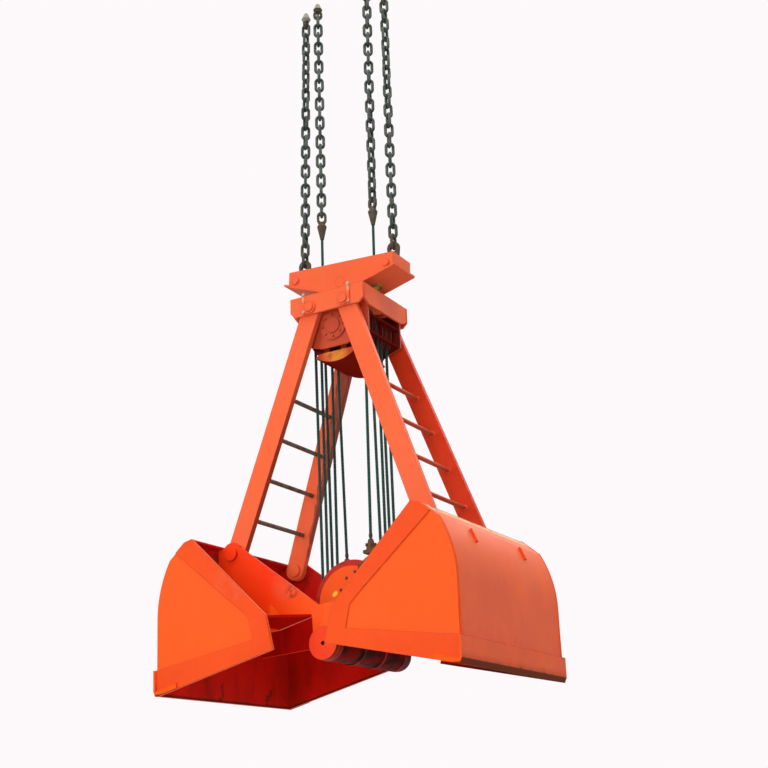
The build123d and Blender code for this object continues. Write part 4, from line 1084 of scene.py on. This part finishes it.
def weld_shells():
    """Seams of the back, the doublers, the mouth strips and the lip."""
    back_seam = [LIP_SEAM, *arc_points(BACK_KNEE, BACK_HEADING, BACK_CROWN, BACK_ARC_STEPS), *RIDGE_SEAM]
    for side, body in ((-1, "shell_left"), (1, "shell_right")):
        runs = []
        for across in (-SIDE_SEAM_Y, SIDE_SEAM_Y):
            runs += shell_seam(side, back_seam, across)
        for across in (-BAND_FACE_Y, BAND_FACE_Y):
            runs += shell_seam(side, BAND_SEAM, across, THIN_BEAD)
            runs += shell_seam(side, STRIP_SEAM, across, THIN_BEAD)
        runs += beads([shell_point(side, *LIP_SEAM, across) for across in (-SIDE_SEAM_Y, SIDE_SEAM_Y)])
        gathered(body + "_welds", runs, weld_paint, body)


def weld_frame():
    """Seams under the beam and at the corners of the head."""
    runs = []
    for across in (-BEAM_Y, BEAM_Y):
        runs += beads([beam_point(along, rise, across) for along, rise in BEAM_SEAM])
    gathered("beam_welds", runs, weld_paint, "beam")
    runs = []
    for end in (-HEAD_HALF, HEAD_HALF):
        for across in (-HEAD_SEAM_Y, HEAD_SEAM_Y):
            runs.append(bead((end, across, HEAD_SEAM_FOOT_Z), (end, across, HEAD_SEAM_TOP_Z)))
    gathered("head_welds", runs, weld_paint, "head")


def weld_ring(radius, bead_radius):
    """A fillet of weld round a bar that stands along Y."""
    ring = made(bpy.ops.mesh.primitive_circle_add, vertices=BEAD_SIDES, radius=bead_radius,
                location=(radius, 0, 0))
    edit_all()
    bpy.ops.mesh.spin(steps=RING_STEPS, angle=2 * math.pi, center=(0, 0, 0), axis=(0, 1, 0))
    bpy.ops.mesh.remove_doubles(threshold=SAME_POINT)
    leave_outwards()
    return ring


def weld_rungs():
    """A ring of weld at both ends of each rung."""
    ring = weld_ring(RUNG_RADIUS, RUNG_BEAD)
    for side, body in ((-1, "arms_left"), (1, "arms_right")):
        foot = Vector((side * ARM_FOOT_X, ARM_FOOT_Y, ARM_FOOT_Z))
        crown = Vector((side * ARM_CROWN_X, ARM_CROWN_Y, HEAD_PIN_Z))
        axis = (crown - foot).normalized()
        rings = []
        for count in range(RUNG_COUNT):
            place = foot + axis * (RUNG_FIRST + RUNG_PITCH * count)
            for across in (-1, 1):
                rings.append(set_down(copy_of(ring), (place.x, across * (place.y - ARM_HALF), place.z)))
        gathered(body + "_rung_welds", rings, frame_paint, body)
    bpy.data.objects.remove(ring)


weld_shells()
weld_frame()
weld_rungs()


# Bolts, nipples and wire seizings


def hex_bolt():
    """Hexagon head on a washer, its back on the origin, standing up Z."""
    bolt = made(bpy.ops.mesh.primitive_cylinder_add, vertices=WASHER_SIDES, radius=WASHER_RADIUS,
                depth=WASHER_DEPTH, location=(0, 0, WASHER_DEPTH / 2))
    bpy.ops.object.mode_set(mode="EDIT")
    bpy.ops.mesh.select_all(action="DESELECT")
    bpy.ops.mesh.primitive_cylinder_add(vertices=HEXAGON, radius=BOLT_RADIUS, depth=BOLT_DEPTH,
                                        location=(0, 0, BOLT_CENTRE))
    bpy.ops.mesh.bevel(offset=BOLT_BEVEL, segments=2, affect="EDGES")
    leave_outwards()
    return bolt


def bolt_up():
    """Bolts of the head's lock bars, of the lower axle's caps and of the block's keepers."""
    bolt = hex_bolt()
    heads = [set_down(copy_of(bolt), (x, side * LOCK_FACE_Y, HEAD_FOOT_Z + rise), upright((0, side, 0)))
             for side in (-1, 1) for x in (-LOCK_X, LOCK_X) for rise in LOCK_BOLT_RISES]
    gathered("lock_bar_bolts", heads, lock_bolt_steel, "head")
    heads = []
    for side in (-1, 1):
        places = []
        for degrees in AXLE_BOLT_TURNS:
            turn = math.radians(degrees)
            places.append((AXLE_BOLT_R * math.cos(turn), side * AXLE_CAP_Y,
                           LOWER_AXLE_Z + AXLE_BOLT_R * math.sin(turn)))
        places += [(side * -x, side * BLOCK_FACE_Y, HINGE_Z + rise) for x, rise in KEEPER_BOLTS]
        heads += [set_down(copy_of(bolt), place, upright((0, side, 0))) for place in places]
    gathered("block_bolts", heads, bolt_steel, "block")
    bpy.data.objects.remove(bolt)


def pick_top(piece, level):
    """Select the faces above a level that face up."""
    bpy.ops.object.mode_set(mode="OBJECT")
    for polygon in piece.data.polygons:
        polygon.select = polygon.normal.z > 0.9 and polygon.center.z > level
    bpy.ops.object.mode_set(mode="EDIT")


def grease_nipple():
    """Hexagon foot, neck and ball, standing up Z."""
    nipple = made(bpy.ops.mesh.primitive_cylinder_add, vertices=HEXAGON, radius=NIPPLE_FOOT,
                  depth=NIPPLE_FOOT, location=(0, 0, NIPPLE_FOOT / 2))
    bpy.ops.object.mode_set(mode="EDIT")
    bpy.ops.mesh.select_all(action="DESELECT")
    pick_top(nipple, NIPPLE_FOOT - SAME_POINT)
    bpy.ops.mesh.inset(thickness=NIPPLE_INSET)
    bpy.ops.mesh.extrude_region_move(TRANSFORM_OT_translate={"value": (0, 0, NIPPLE_NECK)})
    pick_top(nipple, NIPPLE_FOOT + NIPPLE_NECK - SAME_POINT)
    bpy.ops.transform.resize(value=NIPPLE_SWELL)
    bpy.ops.mesh.extrude_region_move(TRANSFORM_OT_translate={"value": (0, 0, NIPPLE_BALL)})
    bpy.ops.transform.resize(value=NIPPLE_TIP)
    bpy.ops.object.mode_set(mode="OBJECT")
    return nipple


def wire_seizing():
    """Thin wire wound round a rope, standing up Z."""
    wire = made(bpy.ops.mesh.primitive_circle_add, vertices=SEIZING_SIDES, radius=SEIZING_WIRE,
                location=(SEIZING_RADIUS, 0, 0), rotation=(math.pi / 2, 0, 0))
    bpy.ops.object.modifier_add(type="SCREW")
    coil = wire.modifiers[-1]
    coil.screw_offset = SEIZING_PITCH
    coil.iterations = SEIZING_TURNS
    coil.steps = coil.render_steps = SEIZING_STEPS
    bpy.ops.object.modifier_apply(modifier=coil.name)
    close_ends(wire)
    return wire


def fit_small_parts():
    """Grease nipples on the hinge pins, wire seizings where the tails leave their anchors."""
    nipple = grease_nipple()
    tips = [set_down(copy_of(nipple), (0, side * PIN_TIP_Y, HINGE_Z), upright((0, side, 0)))
            for side in (-1, 1)]
    gathered("hinge_pin_nipples", tips, bolt_steel, "block")
    bpy.data.objects.remove(nipple)
    coil = wire_seizing()
    wound = []
    for side in (-1, 1):
        low = Vector((-side * LOWER_R, side * ANCHOR_Y, ANCHOR_TOP_Z))
        high = Vector((-side * UPPER_R, side * UPPER_ROWS[1], UPPER_AXLE_Z))
        place = low + (high - low).normalized() * SEIZING_LIFT
        wound.append(set_down(copy_of(coil), place, upright(high - low)))
    gathered("anchor_seizings", wound, anchor_steel, "block", ROPE_SMOOTH_ANGLE)
    bpy.data.objects.remove(coil)


bolt_up()
fit_small_parts()


# Floor


def pale_floor():
    """A pale floor well below the grab."""
    deselect()
    bpy.ops.mesh.primitive_plane_add(size=FLOOR_SIZE, location=(0, 0, FLOOR_Z))
    floor = bpy.context.object
    floor.name = "pale_floor"
    f = Finish("pale_floor")
    speck = f.noise(3.0, 3.0)
    floor.data.materials.append(f.finish(f.mix(speck, FLOOR_GREY, FLOOR_PALE), FLOOR_ROUGHNESS))


pale_floor()
